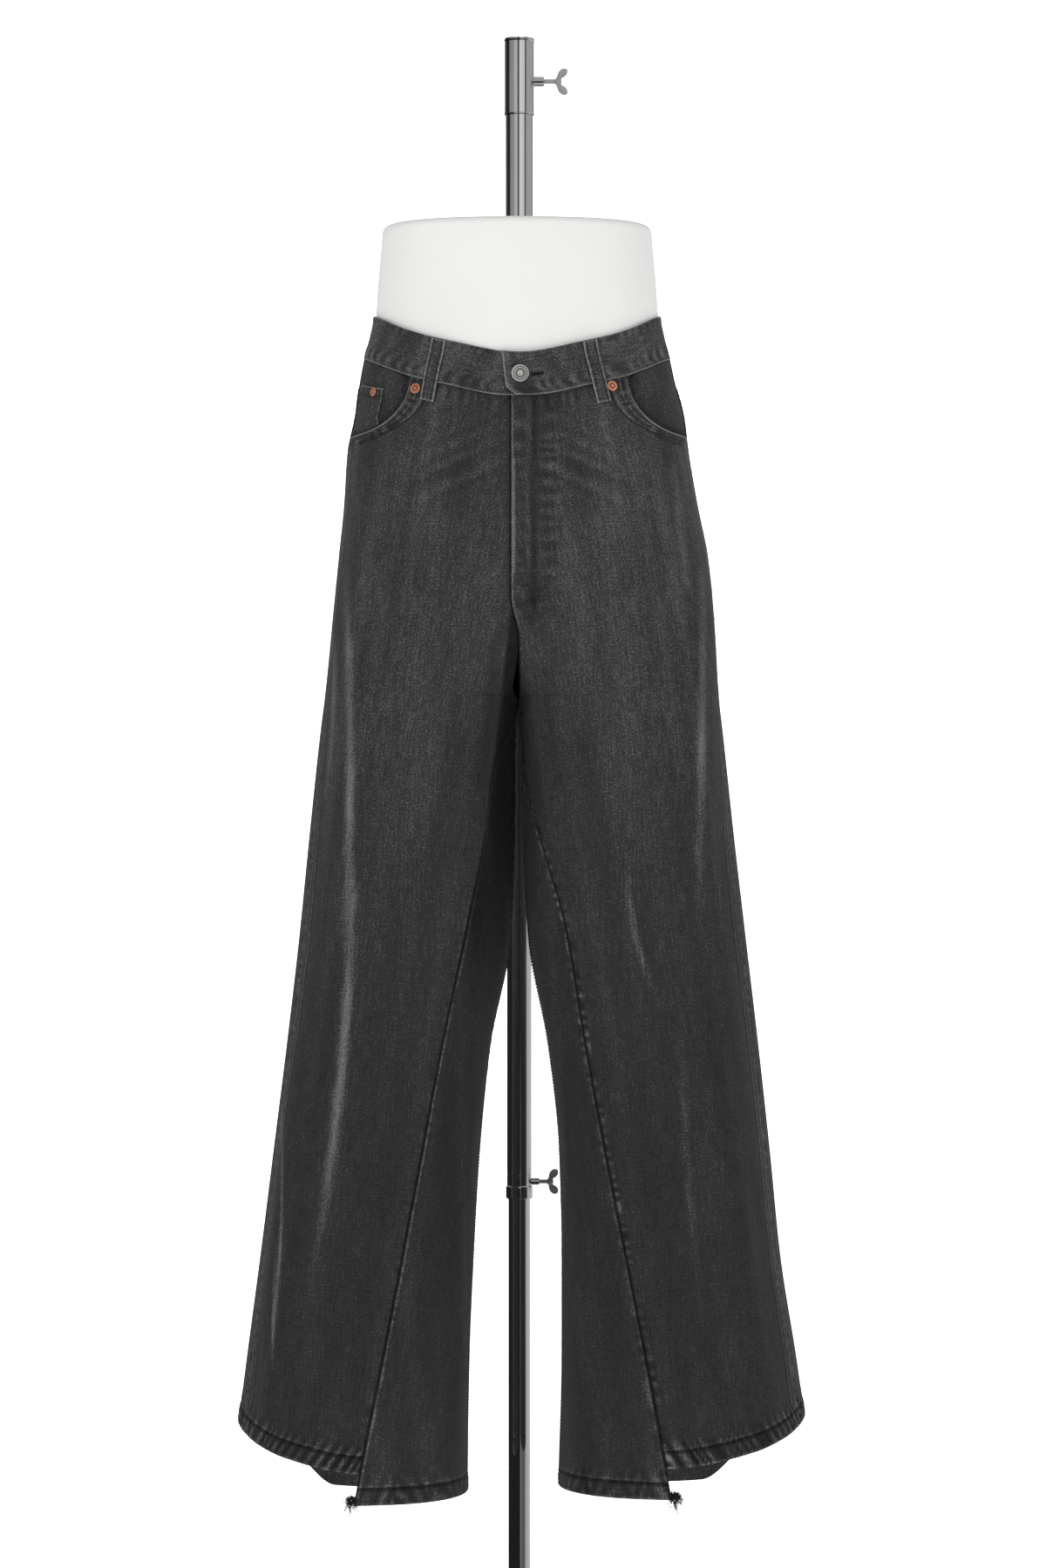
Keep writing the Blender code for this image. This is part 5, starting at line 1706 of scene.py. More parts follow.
    def back(self, side: Side) -> None:
        """A back panel, up to the yoke.

        Args:
            side: The wearer's side.
        """
        skin = Skin.on_surface(side, *self.back_grid(side))
        lift, wall, wear_and_shading = self.hem_relief(skin, 111 + side.value)
        for distance, seed, strength in ((skin.inner, 121, 0.6), (skin.outer, 131, 0.6)):
            more, tone = self.seam_relief(skin.z, distance, seed + side.value, strength)
            lift, wear_and_shading = lift + more, wear_and_shading + tone
        more, tone = self.seam_relief(skin.inner, skin.top, 141 + side.value, 0.5)
        lift, wear_and_shading = lift + more, wear_and_shading + tone
        wear_and_shading = wear_and_shading + skin.streaks(Face.BACK) + self.wash(skin, Face.BACK)
        lines = (SeamLine(Edge.OUTER, 0.0092, 0.0009, 0.16), SeamLine(Edge.OUTER, CUT_EDGE, 0.0009, -0.22),
                 SeamLine(Edge.INNER, CUT_EDGE, 0.0010, -0.20), SeamLine(Edge.TOP, CUT_EDGE, 0.0009, 0.16),
                 HEM_LINE)
        ClothPiece(side.label + "_back_panel", skin, lift, wall, wear_and_shading, lines).build()
        self.backs[side] = skin
        self.sew_leg(skin, Face.BACK)

    def inset(self, side: Side, face: Face) -> None:
        """An inset panel between the inset seam and the inseam.

        Args:
            side: The wearer's side.
            face: Front or back.
        """
        share = eased(self.inset_columns, 0.5)
        skin = Skin.on_surface(side, *self.low_rows(side, face, True, share))
        lift, wall, wear_and_shading = self.hem_relief(skin, 151 + side.value + 2 * face.value)
        strength = 0.8 if side is Side.LEFT and face is Face.FRONT else 0.3
        more, tone = self.seam_relief(skin.z, skin.outer, 161 + side.value, strength)
        fell, fell_tone = self.seam_relief(skin.z, skin.inner, 171 + side.value + face.value, 0.9)
        lift, wear_and_shading = lift + more + fell, wear_and_shading + tone + fell_tone
        drape = drift(skin.inner - 0.18 * skin.z, 0.017, 181 + side.value)
        lift = lift + 0.0006 * drape * fade(skin.z, 0.20, 0.35)
        wear_and_shading = wear_and_shading + 0.05 * drape + self.wash(skin, face) + 0.01
        pale = 0.24 if side is Side.RIGHT else 0.12
        lines = (OUTER_CUT, SeamLine(Edge.OUTER, 0.0030, 0.0016, pale),
                 SeamLine(Edge.INNER, 0.0010, 0.0010, 0.14), SeamLine(Edge.INNER, 0.0085, 0.0009, -0.12),
                 HEM_LINE)
        name = f"{side.label}_{face.label}_inset"
        ClothPiece(name, skin, lift, wall, wear_and_shading, lines).build()
        self.sew_hem(skin)
        self.stitching.row(*skin.path(skin.inner, 0.0018, True, 0.0005))
        self.stitching.row(*skin.path(skin.inner, 0.0080, True, 0.0003))

    def sew_hem(self, skin: Skin) -> None:
        """One row just under the hem band's upper edge."""
        self.stitching.row(*skin.path(skin.low, self.hem_height - self.hem_row, False, self.hem_extra))

    def sew_leg(self, skin: Skin, face: Face) -> None:
        """Hem and inset topstitching, and the seat seam's or the pocket rim's rows.

        Args:
            skin: The piece's patch.
            face: Front or back.
        """
        self.sew_hem(skin)
        inside = skin.z[:, 0] < SHAPE.inset_top_z - 0.02
        for value in self.inset_rows if skin.side is Side.LEFT or face is Face.BACK else ():
            points, normals = skin.path(skin.inner, value, True, 0.0005)
            self.stitching.row(points[inside], normals[inside])
        if face is Face.BACK:
            above = skin.z[:, 0] > SHAPE.crotch_z + 0.01
            for value in self.seat_rows if skin.side is Side.LEFT else ():
                points, normals = skin.path(skin.inner, value, True, 0.0006)
                self.stitching.row(points[above], normals[above])
        else:
            for value in self.rim_rows:
                points, normals = self.pockets.beside_opening(skin.side, value)
                self.stitching.row(points + 0.0006 * normals, normals)
            if skin.side is Side.LEFT:
                self.sew_fly(skin)

    def sew_fly(self, skin: Skin) -> None:
        """Two rows 34 and 40 mm off the fly's edge that curve in to its foot, and one along the edge.

        Args:
            skin: The piece's patch.
        """
        for off in self.fly_rows:
            z = np.linspace(self.fly_top_z, self.fly_foot_z - (off - self.fly_rows[0]), 90)
            turn = np.clip((self.fly_foot_z + self.fly_bend - z) / self.fly_bend, 0.0, 1.0)
            across = off * np.sqrt(np.clip(1 - turn ** 2, 0.0, 1.0))
            row = np.array([np.argmin(np.abs(skin.z[:, 0] - height)) for height in z])
            column = np.array([np.argmin(np.abs(skin.inner[r] - a)) for r, a in zip(row, across)])
            self.stitching.row(skin.shifted(self.fly_step * 0.9)[row, column], skin.normals[row, column])
        points, normals = skin.path(skin.inner, 0.0016, True, self.fly_step + 0.0002)
        on_edge = skin.z[:, 0] > 1.045
        self.stitching.row(points[on_edge], normals[on_edge])

    def build(self) -> None:
        """Both legs, then their stitching."""
        for side in Side:
            self.front(side)
            self.back(side)
            for face in Face:
                self.inset(side, face)
        self.stitching.build()


@dataclass
class Pockets:
    """Front pocket facings, the coin pocket and the back patch pockets."""

    side_x: float = 0.1640
    top_x: float = 0.1055
    low_z: float = 1.2003
    high_z: float = 1.2530
    margin: float = 0.008
    level: float = 0.0006
    depth: float = 0.0046
    wall: float = 0.0012
    patch_gap: float = 0.0009
    patch_rows: tuple[float, float] = (0.0018, 0.0080)
    mouth_rows: tuple[float, float] = (0.0022, 0.0120)
    coin_gap: float = GAP + 0.0006

    def outer_angle(self, side: Side, x: Array, z: Array) -> Array:
        """Angle on the outer, front quarter of a section, at x off the middle."""
        middle, outer_width, *_ = SHAPE.section(side, z)
        return -SHAPE.arccosine((x - middle) / outer_width)

    def opening(self, side: Side, turn: Array) -> tuple[Array, Array]:
        """Angle and height on the opening's edge: a quarter ellipse from the side to the waist.

        Args:
            side: The wearer's side.
            turn: Shares of the quarter turn.

        Returns:
            Angles and heights.
        """
        theta = np.asarray(turn) * math.pi / 2
        x = self.side_x - (self.side_x - self.top_x) * np.sin(theta)
        z = self.high_z - (self.high_z - self.low_z) * np.cos(theta)
        return self.outer_angle(side, x, z), z

    def rim(self, skin: Skin) -> tuple[Array, Array]:
        """Distance off the opening's ellipse and distance along it, for a front panel's points.

        Args:
            skin: The piece's patch.

        Returns:
            Both distances.
        """
        across = (self.side_x - np.abs(skin.points[..., 0])) / (self.side_x - self.top_x)
        down = (self.high_z - skin.z) / (self.high_z - self.low_z)
        size = (self.side_x - self.top_x + self.high_z - self.low_z) / 2
        return ((np.hypot(np.maximum(across, 0), np.maximum(down, 0)) - 1) * size,
                np.arctan2(np.maximum(down, 0), np.maximum(across, 1e-6)) * size)

    def beside_opening(self, side: Side, off: float) -> tuple[Array, Array]:
        """Points and normals of the surface along the opening, off its edge.

        Args:
            side: The wearer's side.
            off: Distance off the edge.

        Returns:
            Points and normals.
        """
        theta = np.linspace(0.04, 0.90, 120) * math.pi / 2
        x = self.side_x - (self.side_x - self.top_x + off) * np.sin(theta)
        z = self.high_z - (self.high_z - self.low_z + off) * np.cos(theta)
        angle = self.outer_angle(side, x, z)
        return SHAPE.point(side, angle, z), SHAPE.normal(side, angle, z)

    def facing(self, side: Side) -> Skin:
        """The cloth behind an opening, deep under the panel's edge and flush at its seams.

        Args:
            side: The wearer's side.

        Returns:
            Its outer face as a patch.
        """
        theta = np.linspace(0.0, 0.88, 64) * math.pi / 2
        x = self.side_x - (self.side_x - self.top_x + self.margin) * np.sin(theta)
        low = self.high_z - (self.high_z - self.low_z + self.margin) * np.cos(theta)
        angle = self.outer_angle(side, x, low)
        seam = SHAPE.side_seam(1.24)
        edge = float(seam - SHAPE.arc_step(side, seam, 1.24, GAP))
        angle = angle[0] + (angle - angle[0]) * (angle[-1] - edge) / (angle[-1] - angle[0]) + edge - angle[0]
        height = SHAPE.waist_seam(angle) - GAP - low
        z = low + height * np.linspace(0.0, 1.0, 34)[:, None]
        angle = np.broadcast_to(angle, z.shape)
        skin = Skin.on_surface(side, angle, z)
        across = (self.side_x - np.abs(skin.points[..., 0])) / (self.side_x - self.top_x)
        down = np.maximum(self.high_z - z, 0.0) / (self.high_z - self.low_z)
        under = fade(np.hypot(across, down), 0.84, 0.95) * fade(skin.inner, 0.002, 0.016)
        sunk = -self.level - self.depth * under
        # Darker towards the opening's edge, where the facing sinks under the panel: painted shade; the drift
        # is uneven fading.
        wear_and_shading = (0.05 * drift(skin.z + 0.5 * across, 0.012, 201)
                - 0.05 * fade(np.hypot(across, down), 0.5, 0.95))
        ClothPiece(side.label + "_pocket_facing", skin, sunk, self.wall, wear_and_shading,
                   (SeamLine(Edge.TOP, CUT_EDGE, 0.0012, -0.15),), tone=0.38).build()
        return Skin(skin.shifted(sunk), skin.normals, skin.angle, skin.z, side)

    def coin(self, base: Skin, stitching: Stitching) -> None:
        """Small pocket on the right facing, under the opening's edge at its foot.

        Args:
            base: The patch that it's sewn on.
            stitching: Collects the rows.
        """
        rows, columns = self.window(base, (0.1330, 0.1545), (1.2020, 1.2470), (36, 28))
        skin = self.cut(base, rows, columns)
        rail = np.minimum(skin.inner, skin.outer)
        wave = puckers(skin.low, rail, 0.008, 0.004, 211)
        lift = self.coin_gap + self.wall + 0.0002 * wave
        wear_and_shading = 0.36 * bell(skin.top, 0.0012) + 0.10 * wave + 0.30 * bell(rail, 0.0010)
        wear_and_shading = wear_and_shading - 0.10 * bell(skin.top - 0.010, 0.0014)
        ClothPiece("coin_pocket", skin, lift, self.wall, wear_and_shading).build()
        for grid, value, along in ((skin.top, 0.0022, False), (skin.top, 0.0085, False),
                                   (skin.inner, 0.0016, True), (skin.outer, 0.0016, True)):
            stitching.row(*skin.path(grid, value, along, lift.mean()))

    @staticmethod
    def window(base: Skin, x_span: tuple, z_span: tuple, counts: tuple) -> tuple[Array, Array]:
        """Fractional rows and columns of a base patch over a span of x and of height.

        Args:
            base: The patch that it's sewn on.
            x_span: Ends of the span of x.
            z_span: Ends of the span of height.
            counts: Rows and columns.

        Returns:
            Fractional rows and columns.
        """
        row, column = np.indices(base.z.shape)
        x = np.abs(base.points[..., 0])
        middle = base.z.shape[0] // 2
        order = np.argsort(x[middle])
        ends = np.interp(x_span, x[middle][order], column[middle][order])
        centre = int(ends.mean())
        levels = np.interp(z_span, base.z[:, centre], row[:, centre])
        columns = np.linspace(*ends, counts[1])
        return np.repeat(np.linspace(*levels, counts[0])[:, None], counts[1], 1), \
            np.repeat(columns[None], counts[0], 0)

    @staticmethod
    def cut(base: Skin, rows: Array, columns: Array) -> Skin:
        """A patch read between a base patch's own points.

        Args:
            base: The patch that it's sewn on.
            rows: Fractional rows.
            columns: Fractional columns.

        Returns:
            The smaller patch.
        """
        points, normals, angle, z = (read_between(grid, rows, columns) for grid in
                                     (base.points, base.normals, base.angle, base.z))
        return Skin(points, normals, angle, z, base.side)

    def back(self, base: Skin, stitching: Stitching) -> None:
        """Patch pocket with a pointed foot, turned top edge and worn rim.

        Args:
            base: The patch that it's sewn on.
            stitching: Collects the rows.
        """
        low_z, top_z, point = 1.079, 1.205, 0.020
        span, counts = (0.018, 0.156), (66, 64)
        rows, columns = self.window(base, span, (low_z, top_z), counts)
        foot, _ = self.window(base, span, (low_z - point, low_z), (2, counts[1]))
        off = np.abs(np.linspace(-1.0, 1.0, counts[1]))
        drop = (foot[1, 0] - foot[0, 0]) * (1 - off)
        share = np.linspace(0.0, 1.0, counts[0])[:, None]
        rows = rows - drop * (1 - share)
        skin = self.cut(base, rows, columns)
        rim = np.minimum(np.minimum(skin.inner, skin.outer), skin.low)
        seed = 221 + base.side.value
        wave = puckers(skin.low + skin.inner, rim, 0.0095, 0.0050, seed, 0.003)
        head = puckers(skin.inner, skin.top, 0.0110, 0.0060, seed + 2, 0.007)
        lift = self.patch_gap + self.wall + 0.0003 * wave + 0.0003 * head
        wear_and_shading = 0.30 * bell(rim, 0.0012) + 0.34 * bell(skin.top, 0.0014) + 0.10 * wave + 0.10 * head
        wear_and_shading = wear_and_shading + 0.08 * bell(rim - 0.05, 0.03) + 0.04 * drift(skin.inner + skin.low, 0.02, seed + 4)
        ClothPiece(base.side.label + "_back_pocket", skin, lift, self.wall, wear_and_shading).build()
        rise = self.patch_gap + self.wall
        for grid, along in ((skin.inner, True), (skin.outer, True), (skin.low, False)):
            for value in self.patch_rows:
                stitching.row(*skin.path(grid, value, along, rise))
        for value in self.mouth_rows:
            stitching.row(*skin.path(skin.top, value, False, rise))


@dataclass
class Waist:
    """Yokes, waistband and belt loops."""

    height: float = 0.042
    wall: float = 0.0022
    yoke_wall: float = 0.0015
    yoke_columns: int = 72
    yoke_levels: int = 26
    yoke_rows: tuple[float, float] = (0.0018, 0.0078)
    lift: float = 0.0004
    overlap_start: float = -3.0
    overlap_end: float = 13.5
    slot_place: tuple[float, float] = (0.0285, 0.0205)
    slot_half: tuple[float, float] = (0.0105, 0.0016)
    loop_width: float = 0.0140
    loop_wall: float = 0.0016
    loop_gap: float = 0.0006
    loop_overhang: float = 0.0195
    stitching: Stitching = field(default_factory=lambda: Stitching(
        "waist_stitching", ThreadFinish("charcoal_thread", (0.030, 0.030, 0.032))))

    def yoke(self, side: Side) -> None:
        """The shaped piece between back panel and waistband.

        Args:
            side: The wearer's side.
        """
        share = eased(self.yoke_columns, 0.5)
        climb = np.linspace(0.0, 1.0, self.yoke_levels)[:, None]
        z = np.full((self.yoke_levels, self.yoke_columns), 1.26)
        for _ in range(6):
            first = SHAPE.open_angle(side, z[:, 0])
            last = SHAPE.outer_edge(side, z[:, -1], Face.BACK)
            angle = spread(first, last, share)
            low, high = SHAPE.yoke_seam(angle) + GAP / 2, SHAPE.waist_seam(angle) - GAP
            z = low + (high - low) * climb
        skin = Skin.on_surface(side, angle, z)
        wave = puckers(skin.inner, skin.low, 0.0105, 0.0055, 301 + side.value, 0.004)
        ridge = 1 - fade(skin.low, 0.0085, 0.0105)
        seat = puckers(skin.z, skin.inner, 0.0105, 0.0050, 305 + side.value, 0.004)
        lift = 0.0004 * ridge + 0.0004 * wave + 0.0003 * seat
        # The darkening at the yoke's top edge is painted shade under the waistband; the pale lower edge and
        # puckers are worn.
        wear_and_shading = 0.14 * wave + 0.10 * seat + 0.26 * bell(skin.low, 0.0010) - 0.08 * bell(skin.top, 0.003)
        ClothPiece(side.label + "_back_yoke", skin, lift, self.yoke_wall, wear_and_shading).build()
        for value in self.yoke_rows:
            self.stitching.row(*skin.path(skin.low, value, False, 0.0008))

    def place(self, turn: Array, z: Array) -> tuple[Array, Array]:
        """Points and normals round the waist: turn 0 is the front, 90 the wearer's left.

        Args:
            turn: Degrees.
            z: Heights.

        Returns:
            Points and normals.
        """
        turn = (np.asarray(turn, float) + 180.0) % 360.0 - 180.0
        left = (turn >= 0)[..., None]
        reach = np.where(turn >= 0, SHAPE.open_angle(Side.LEFT, z), SHAPE.open_angle(Side.RIGHT, z))
        angle = (np.abs(turn) / 90.0 - 1.0) * reach
        return (np.where(left, SHAPE.point(Side.LEFT, angle, z), SHAPE.point(Side.RIGHT, angle, z)),
                np.where(left, SHAPE.normal(Side.LEFT, angle, z), SHAPE.normal(Side.RIGHT, angle, z)))

    @staticmethod
    def seam(turn: Array) -> Array:
        """Height of the waistband's lower edge at turns in degrees."""
        turn = (np.asarray(turn, float) + 180.0) % 360.0 - 180.0
        return SHAPE.waist_seam(np.radians(np.abs(turn) - 90.0))

    def overlap(self, turn: Array) -> Array:
        """Lift of the buttoned end over the other end, easing down past it."""
        return (self.wall + GAP) * (1 - fade(turn, self.overlap_end + 2.0, self.overlap_end + 28.0))

    def band(self) -> None:
        """The waistband: one long piece whose left end laps over its right end."""
        columns, rows = 420, 22
        turn = np.linspace(self.overlap_start, 360.0 + self.overlap_end, columns)
        share = eased(rows, 0.4)[:, None]
        slant = 5.6 * (1 - fade(turn, self.overlap_start, self.overlap_start + 12.0))
        turn = turn + slant * (0.5 - share)
        z = self.seam(turn) + self.height * share
        points, normals = self.place(turn, z)
        skin = Skin(points, normals, np.radians(turn), z, Side.LEFT)
        low = puckers(skin.inner, skin.low, 0.0150, 0.0060, 311, 0.008)
        high = puckers(skin.inner, skin.top, 0.0120, 0.0045, 313, 0.003)
        lift = self.lift + self.overlap(turn) + 0.00035 * low + 0.0002 * high
        wear_and_shading = 0.20 * low + 0.10 * high + 0.36 * bell(skin.low, 0.0012) + 0.16 * bell(skin.top, 0.0010)
        wear_and_shading = wear_and_shading + 0.50 * bell(skin.inner, 0.0013) + 0.10 * bell(skin.inner - 0.004, 0.003) + 0.06
        wear_and_shading = wear_and_shading + 0.05 * drift(skin.inner + 0.4 * skin.z, 0.012, 315)
        # The slot is sunk and darkened: the darkening is painted shade in its opening.
        slot_x = np.abs(skin.inner - self.slot_place[0]) / self.slot_half[0]
        slot_z = (skin.low - self.slot_place[1]) / self.slot_half[1]
        slot = np.clip(1 - np.hypot(slot_x, slot_z), 0.0, 1.0)
        lift, wear_and_shading = lift - 0.0005 * (slot > 0), wear_and_shading - 0.5 * fade(slot, 0.0, 0.3)
        ClothPiece("waistband", skin, lift, self.wall, wear_and_shading, cloth=(skin.low, skin.inner),
                   flat_length=float(np.median(skin.low[-1]))).build()
        base = self.lift + self.overlap(turn)
        for grid, value, along in ((skin.low, 0.0020, False), (skin.top, 0.0024, False),
                                   (skin.inner, 0.0022, True)):
            points, normals = skin.path(grid, value, along)
            level = base[0] if not along else np.full(rows, base[0, 0])
            self.stitching.row(points + level[:, None] * normals, normals)

    def loop(self, name: str, turn: float) -> None:
        """A belt loop: a folded strip over the band, bowed out, its edges pale.

        Args:
            name: The loop's node.
            turn: Its middle, in degrees.
        """
        columns = 15
        probe, _ = self.place(np.array([turn - 1.0, turn + 1.0]), np.full(2, 1.28))
        half = self.loop_width / float(np.linalg.norm(probe[1] - probe[0]))
        across = np.linspace(-half, half, columns)
        share = eased(34, 0.3)[:, None]
        turns = turn + across + np.zeros_like(share)
        z = self.seam(turns) - self.loop_overhang + (self.height + self.loop_overhang - 0.0015) * share
        points, normals = self.place(turns, z)
        skin = Skin(points, normals, np.radians(turns), z, Side.LEFT)
        base = self.lift + self.overlap(turns % 360.0) + self.loop_gap + self.loop_wall
        bow = 0.0016 * np.sin(math.pi * share) ** 2
        crown = 0.0004 * (1 - (across / half) ** 2)
        rail = np.minimum(skin.inner, skin.outer)
        wave = puckers(skin.low, rail, 0.0080, 0.0030, 321)
        lift = base + bow + crown + 0.0002 * wave
        wear_and_shading = 0.48 * bell(rail, 0.0011) + 0.36 * bell(skin.low, 0.0011) + 0.3 * bell(skin.top, 0.0011)
        wear_and_shading = wear_and_shading + 0.14 * wave - 0.14 * bell(rail - 0.0026, 0.0010) + 0.07
        ClothPiece(name, skin, lift, self.loop_wall, wear_and_shading, cloth=(skin.inner + turn, skin.low)).build()
        for grid in (skin.inner, skin.outer):
            points, normals = skin.path(grid, 0.0026, True)
            level = (base + bow)[:, columns // 2][:, None]
            self.stitching.row(points + level * normals, normals)

    def build(self) -> None:
        """Yokes, band, loops, then their stitching."""
        for side in Side:
            self.yoke(side)
        self.band()
        loops = {"left_front_loop": 26.0, "right_front_loop": -29.3, "left_back_loop": 118.0,
                 "right_back_loop": -118.0, "middle_back_loop": 180.0}
        for name, turn in loops.items():
            self.loop(name, turn)
        self.stitching.build()


BUTTON_ROWS = (
    (0.400, 0.0), (0.400, 0.0009), (0.955, 0.0010), (0.990, 0.0014), (1.000, 0.0020), (0.985, 0.0026),
    (0.940, 0.0029), (0.890, 0.00285), (0.850, 0.0024), (0.800, 0.0022), (0.700, 0.00225),
    (0.660, 0.00255), (0.620, 0.00255), (0.580, 0.0022), (0.460, 0.0021), (0.360, 0.0021),
    (0.310, 0.0026), (0.220, 0.00285), (0.100, 0.0029),
)
RIVET_ROWS = (
    (0.92, 0.0), (1.00, 0.0003), (0.98, 0.0006), (0.88, 0.0010), (0.76, 0.00112), (0.62, 0.0010),
    (0.50, 0.00075), (0.40, 0.0007), (0.33, 0.0010), (0.29, 0.0015), (0.20, 0.00175), (0.08, 0.0018),
)


@dataclass
class Hardware:
    """Waist button and rivets."""

    button_radius: float = 0.0085
    button_x: float = 0.0012
    button_z: float = 1.2542
    pocket_rivet: float = 0.0052
    coin_rivet: float = 0.0042
    copper: MetalFinish = MetalFinish("worn_copper", (0.80, 0.34, 0.20), 0.34, 0.16, 1500.0, 0.00006,
                                      (0.42, 0.15, 0.09), 0.45)
    silver: MetalFinish = MetalFinish("antique_silver", (0.68, 0.68, 0.66), 0.30, 0.18, 1400.0, 0.00008,
                                      (0.34, 0.34, 0.33), 0.55)
    dark_copper: MetalFinish = MetalFinish("copper_hollow", (0.16, 0.055, 0.035), 0.55, metallic=0.3)
    dark_silver: MetalFinish = MetalFinish("silver_hollow", (0.21, 0.21, 0.20), 0.45, metallic=0.7)

    def on_front(self, name: str, node: str | None, profile: Array, side: Side, x: float, z: float,
                 lift: float, material: bpy.types.Material, slot: str) -> None:
        """A turned piece standing on the front at x off the middle; without a node, an inlaid ring.

        Args:
            name: The piece's name.
            node: The CAD node, or None.
            profile: (radius, height) rows.
            side: The wearer's side.
            x: Distance off the middle.
            z: Height.
            lift: Distance off the surface.
            material: Its finish.
            slot: Not used.
        """
        at = np.array([z])
        angle = SHAPE.angle_at_x(side, np.array([x]), at, Face.FRONT)
        normal = SHAPE.normal(side, angle, at, fine=False)[0]
        place = SHAPE.point(side, angle, at, fine=False)[0] + lift * normal
        thing = turned(name, profile, material, tuple(place), tuple(normal), 48, node is None)
        settle(thing, BODY, node)

    @staticmethod
    def domed(rows: tuple, radius: float) -> list:
        """A button's or rivet's profile from rows of (share of the radius, height)."""
        return [(radius * share, height) for share, height in rows] + [(AXIS, rows[-1][1])]

    @staticmethod
    def inlay(inner: float, outer: float, floor: float, height: float) -> list:
        """Rows of a flat ring that fills a groove."""
        return [(inner, floor), (outer, floor), (outer, height), (inner, height)]

    def build(self, waist: Waist, pockets: Pockets) -> None:
        """The button in its antique silver and three copper rivets, with dark rings in their grooves.

        Args:
            waist: Gives the band's level.
            pockets: Gives the coin pocket's level.
        """
        r, place = self.button_radius, (Side.LEFT, self.button_x, self.button_z)
        lift = waist.lift + waist.wall + 2 * GAP
        self.on_front("waist_button_metal", "waist_button", self.domed(BUTTON_ROWS, r), *place, lift,
                      self.silver.material(), "button")
        dark = self.dark_silver.material()
        for number, (inner, outer, height) in enumerate(((0.70, 0.81, 0.00238), (0.37, 0.57, 0.00232))):
            ring = self.inlay(r * inner, r * outer, 0.0020, height)
            self.on_front(f"waist_button_ring_{number}", None, ring, *place, lift, dark, "button")
        copper, hollow = self.copper.material(), self.dark_copper.material()
        coin = pockets.coin_gap + pockets.wall - pockets.level + 2 * GAP
        for name, side, x, z, rise, radius in (
                ("left_pocket_rivet", Side.LEFT, 0.0897, 1.2440, GAP, self.pocket_rivet),
                ("right_pocket_rivet", Side.RIGHT, 0.1000, 1.2420, GAP, self.pocket_rivet),
                ("coin_pocket_rivet", Side.RIGHT, 0.1400, 1.2410, coin, self.coin_rivet)):
            self.on_front(name + "_metal", name, self.domed(RIVET_ROWS, radius), side, x, z, rise,
                          copper, "rivet")
            ring = self.inlay(radius * 0.35, radius * 0.58, 0.0005, 0.00100)
            self.on_front(name + "_ring", None, ring, side, x, z, rise, hollow, "rivet")


@dataclass
class Frays:
    """Loose threads and frayed tufts at the hems' corners."""

    radius: float = 0.00040
    rows: int = 18
    sides: int = 5

    def strand(self, start: Array, end: Array, sway: float, seed: int) -> Array:
        """A thin wavy tube from start to end: a five-sided ring carried along a drifting line.

        Args:
            start: Where it starts.
            end: Where it ends.
            sway: How far it waves.
            seed: Picks the random draws.

        Returns:
            Its points, ring by ring.
        """
        t = np.linspace(0.0, 1.0, self.rows)[:, None]
        wave = np.stack([drift(t[:, 0], 0.16, seed + k) for k in range(3)], axis=-1)
        line = start + (end - start) * t + sway * wave * t
        ring = np.stack([*unit_circle(self.sides), np.zeros(self.sides)], axis=-1)
        size = self.radius * (1 - 0.7 * t)
        return (line[:, None] + size[:, None] * ring).reshape(-1, 3)

    def tuft(self, name: str, place: tuple, reach: tuple, count: int, spread: float, seed: int) -> None:
        """Many strands from near one place towards a reach, each ending a little apart.

        Args:
            name: The piece's name.
            place: Where its strands start.
            reach: Where they point.
            count: Number of strands.
            spread: How far apart they lie.
            seed: Picks the random draws.
        """
        draw = np.random.default_rng(seed)
        strands = []
        for number in range(count):
            start = np.asarray(place) + draw.uniform(-1, 1, 3) * spread * np.array([0.7, 0.4, 0.3])
            end = start + np.asarray(reach) * draw.uniform(0.35, 1.0) + draw.uniform(-1, 1, 3) * spread
            strands.append(self.strand(start, end, spread * 0.8, seed * 97 + number * 5))
        offset = (np.arange(count) * self.rows * self.sides)[:, None, None]
        faces = [(grid_faces(self.rows, self.sides, wrap=True) + offset).reshape(-1, 4),
                 (end_caps(self.rows, self.sides) + offset).reshape(-1, self.sides)]
        finish = ThreadFinish(name + "_fibre", (0.020, 0.020, 0.021))
        settle(new_object(name, np.concatenate(strands), faces, finish.material(), 80.0), BODY)

    def build(self) -> None:
        """Tufts where the hems meet the inset seams and the side seams, with two hanging ends."""
        for name, place, reach, count, spread, seed in (
                ("right_hem_fray", (-0.1600, -0.1165, 0.1745), (-0.001, -0.001, -0.009), 90, 0.0062, 7),
                ("left_hem_fray", (0.1490, -0.1160, 0.1785), (0.003, -0.001, -0.009), 100, 0.0066, 9),
                ("right_hem_thread", (-0.1610, -0.1168, 0.1710), (-0.002, -0.001, -0.024), 5, 0.0016, 11),
                ("left_hem_thread", (0.1490, -0.1165, 0.1730), (0.002, -0.001, -0.026), 7, 0.0018, 13),
                ("right_side_fray", (-0.2690, -0.040, 0.2375), (-0.008, -0.004, 0.001), 14, 0.0028, 15),
                ("left_side_fray", (0.2745, -0.040, 0.2510), (0.005, -0.004, 0.001), 10, 0.0022, 17)):
            self.tuft(name, place, reach, count, spread, seed)


# ---------------------------------------------------------------- form and stand
class FormRing(NamedTuple):
    """Half width and depths of the hip form at one height."""

    height: float
    half_width: float
    front: float
    back: float


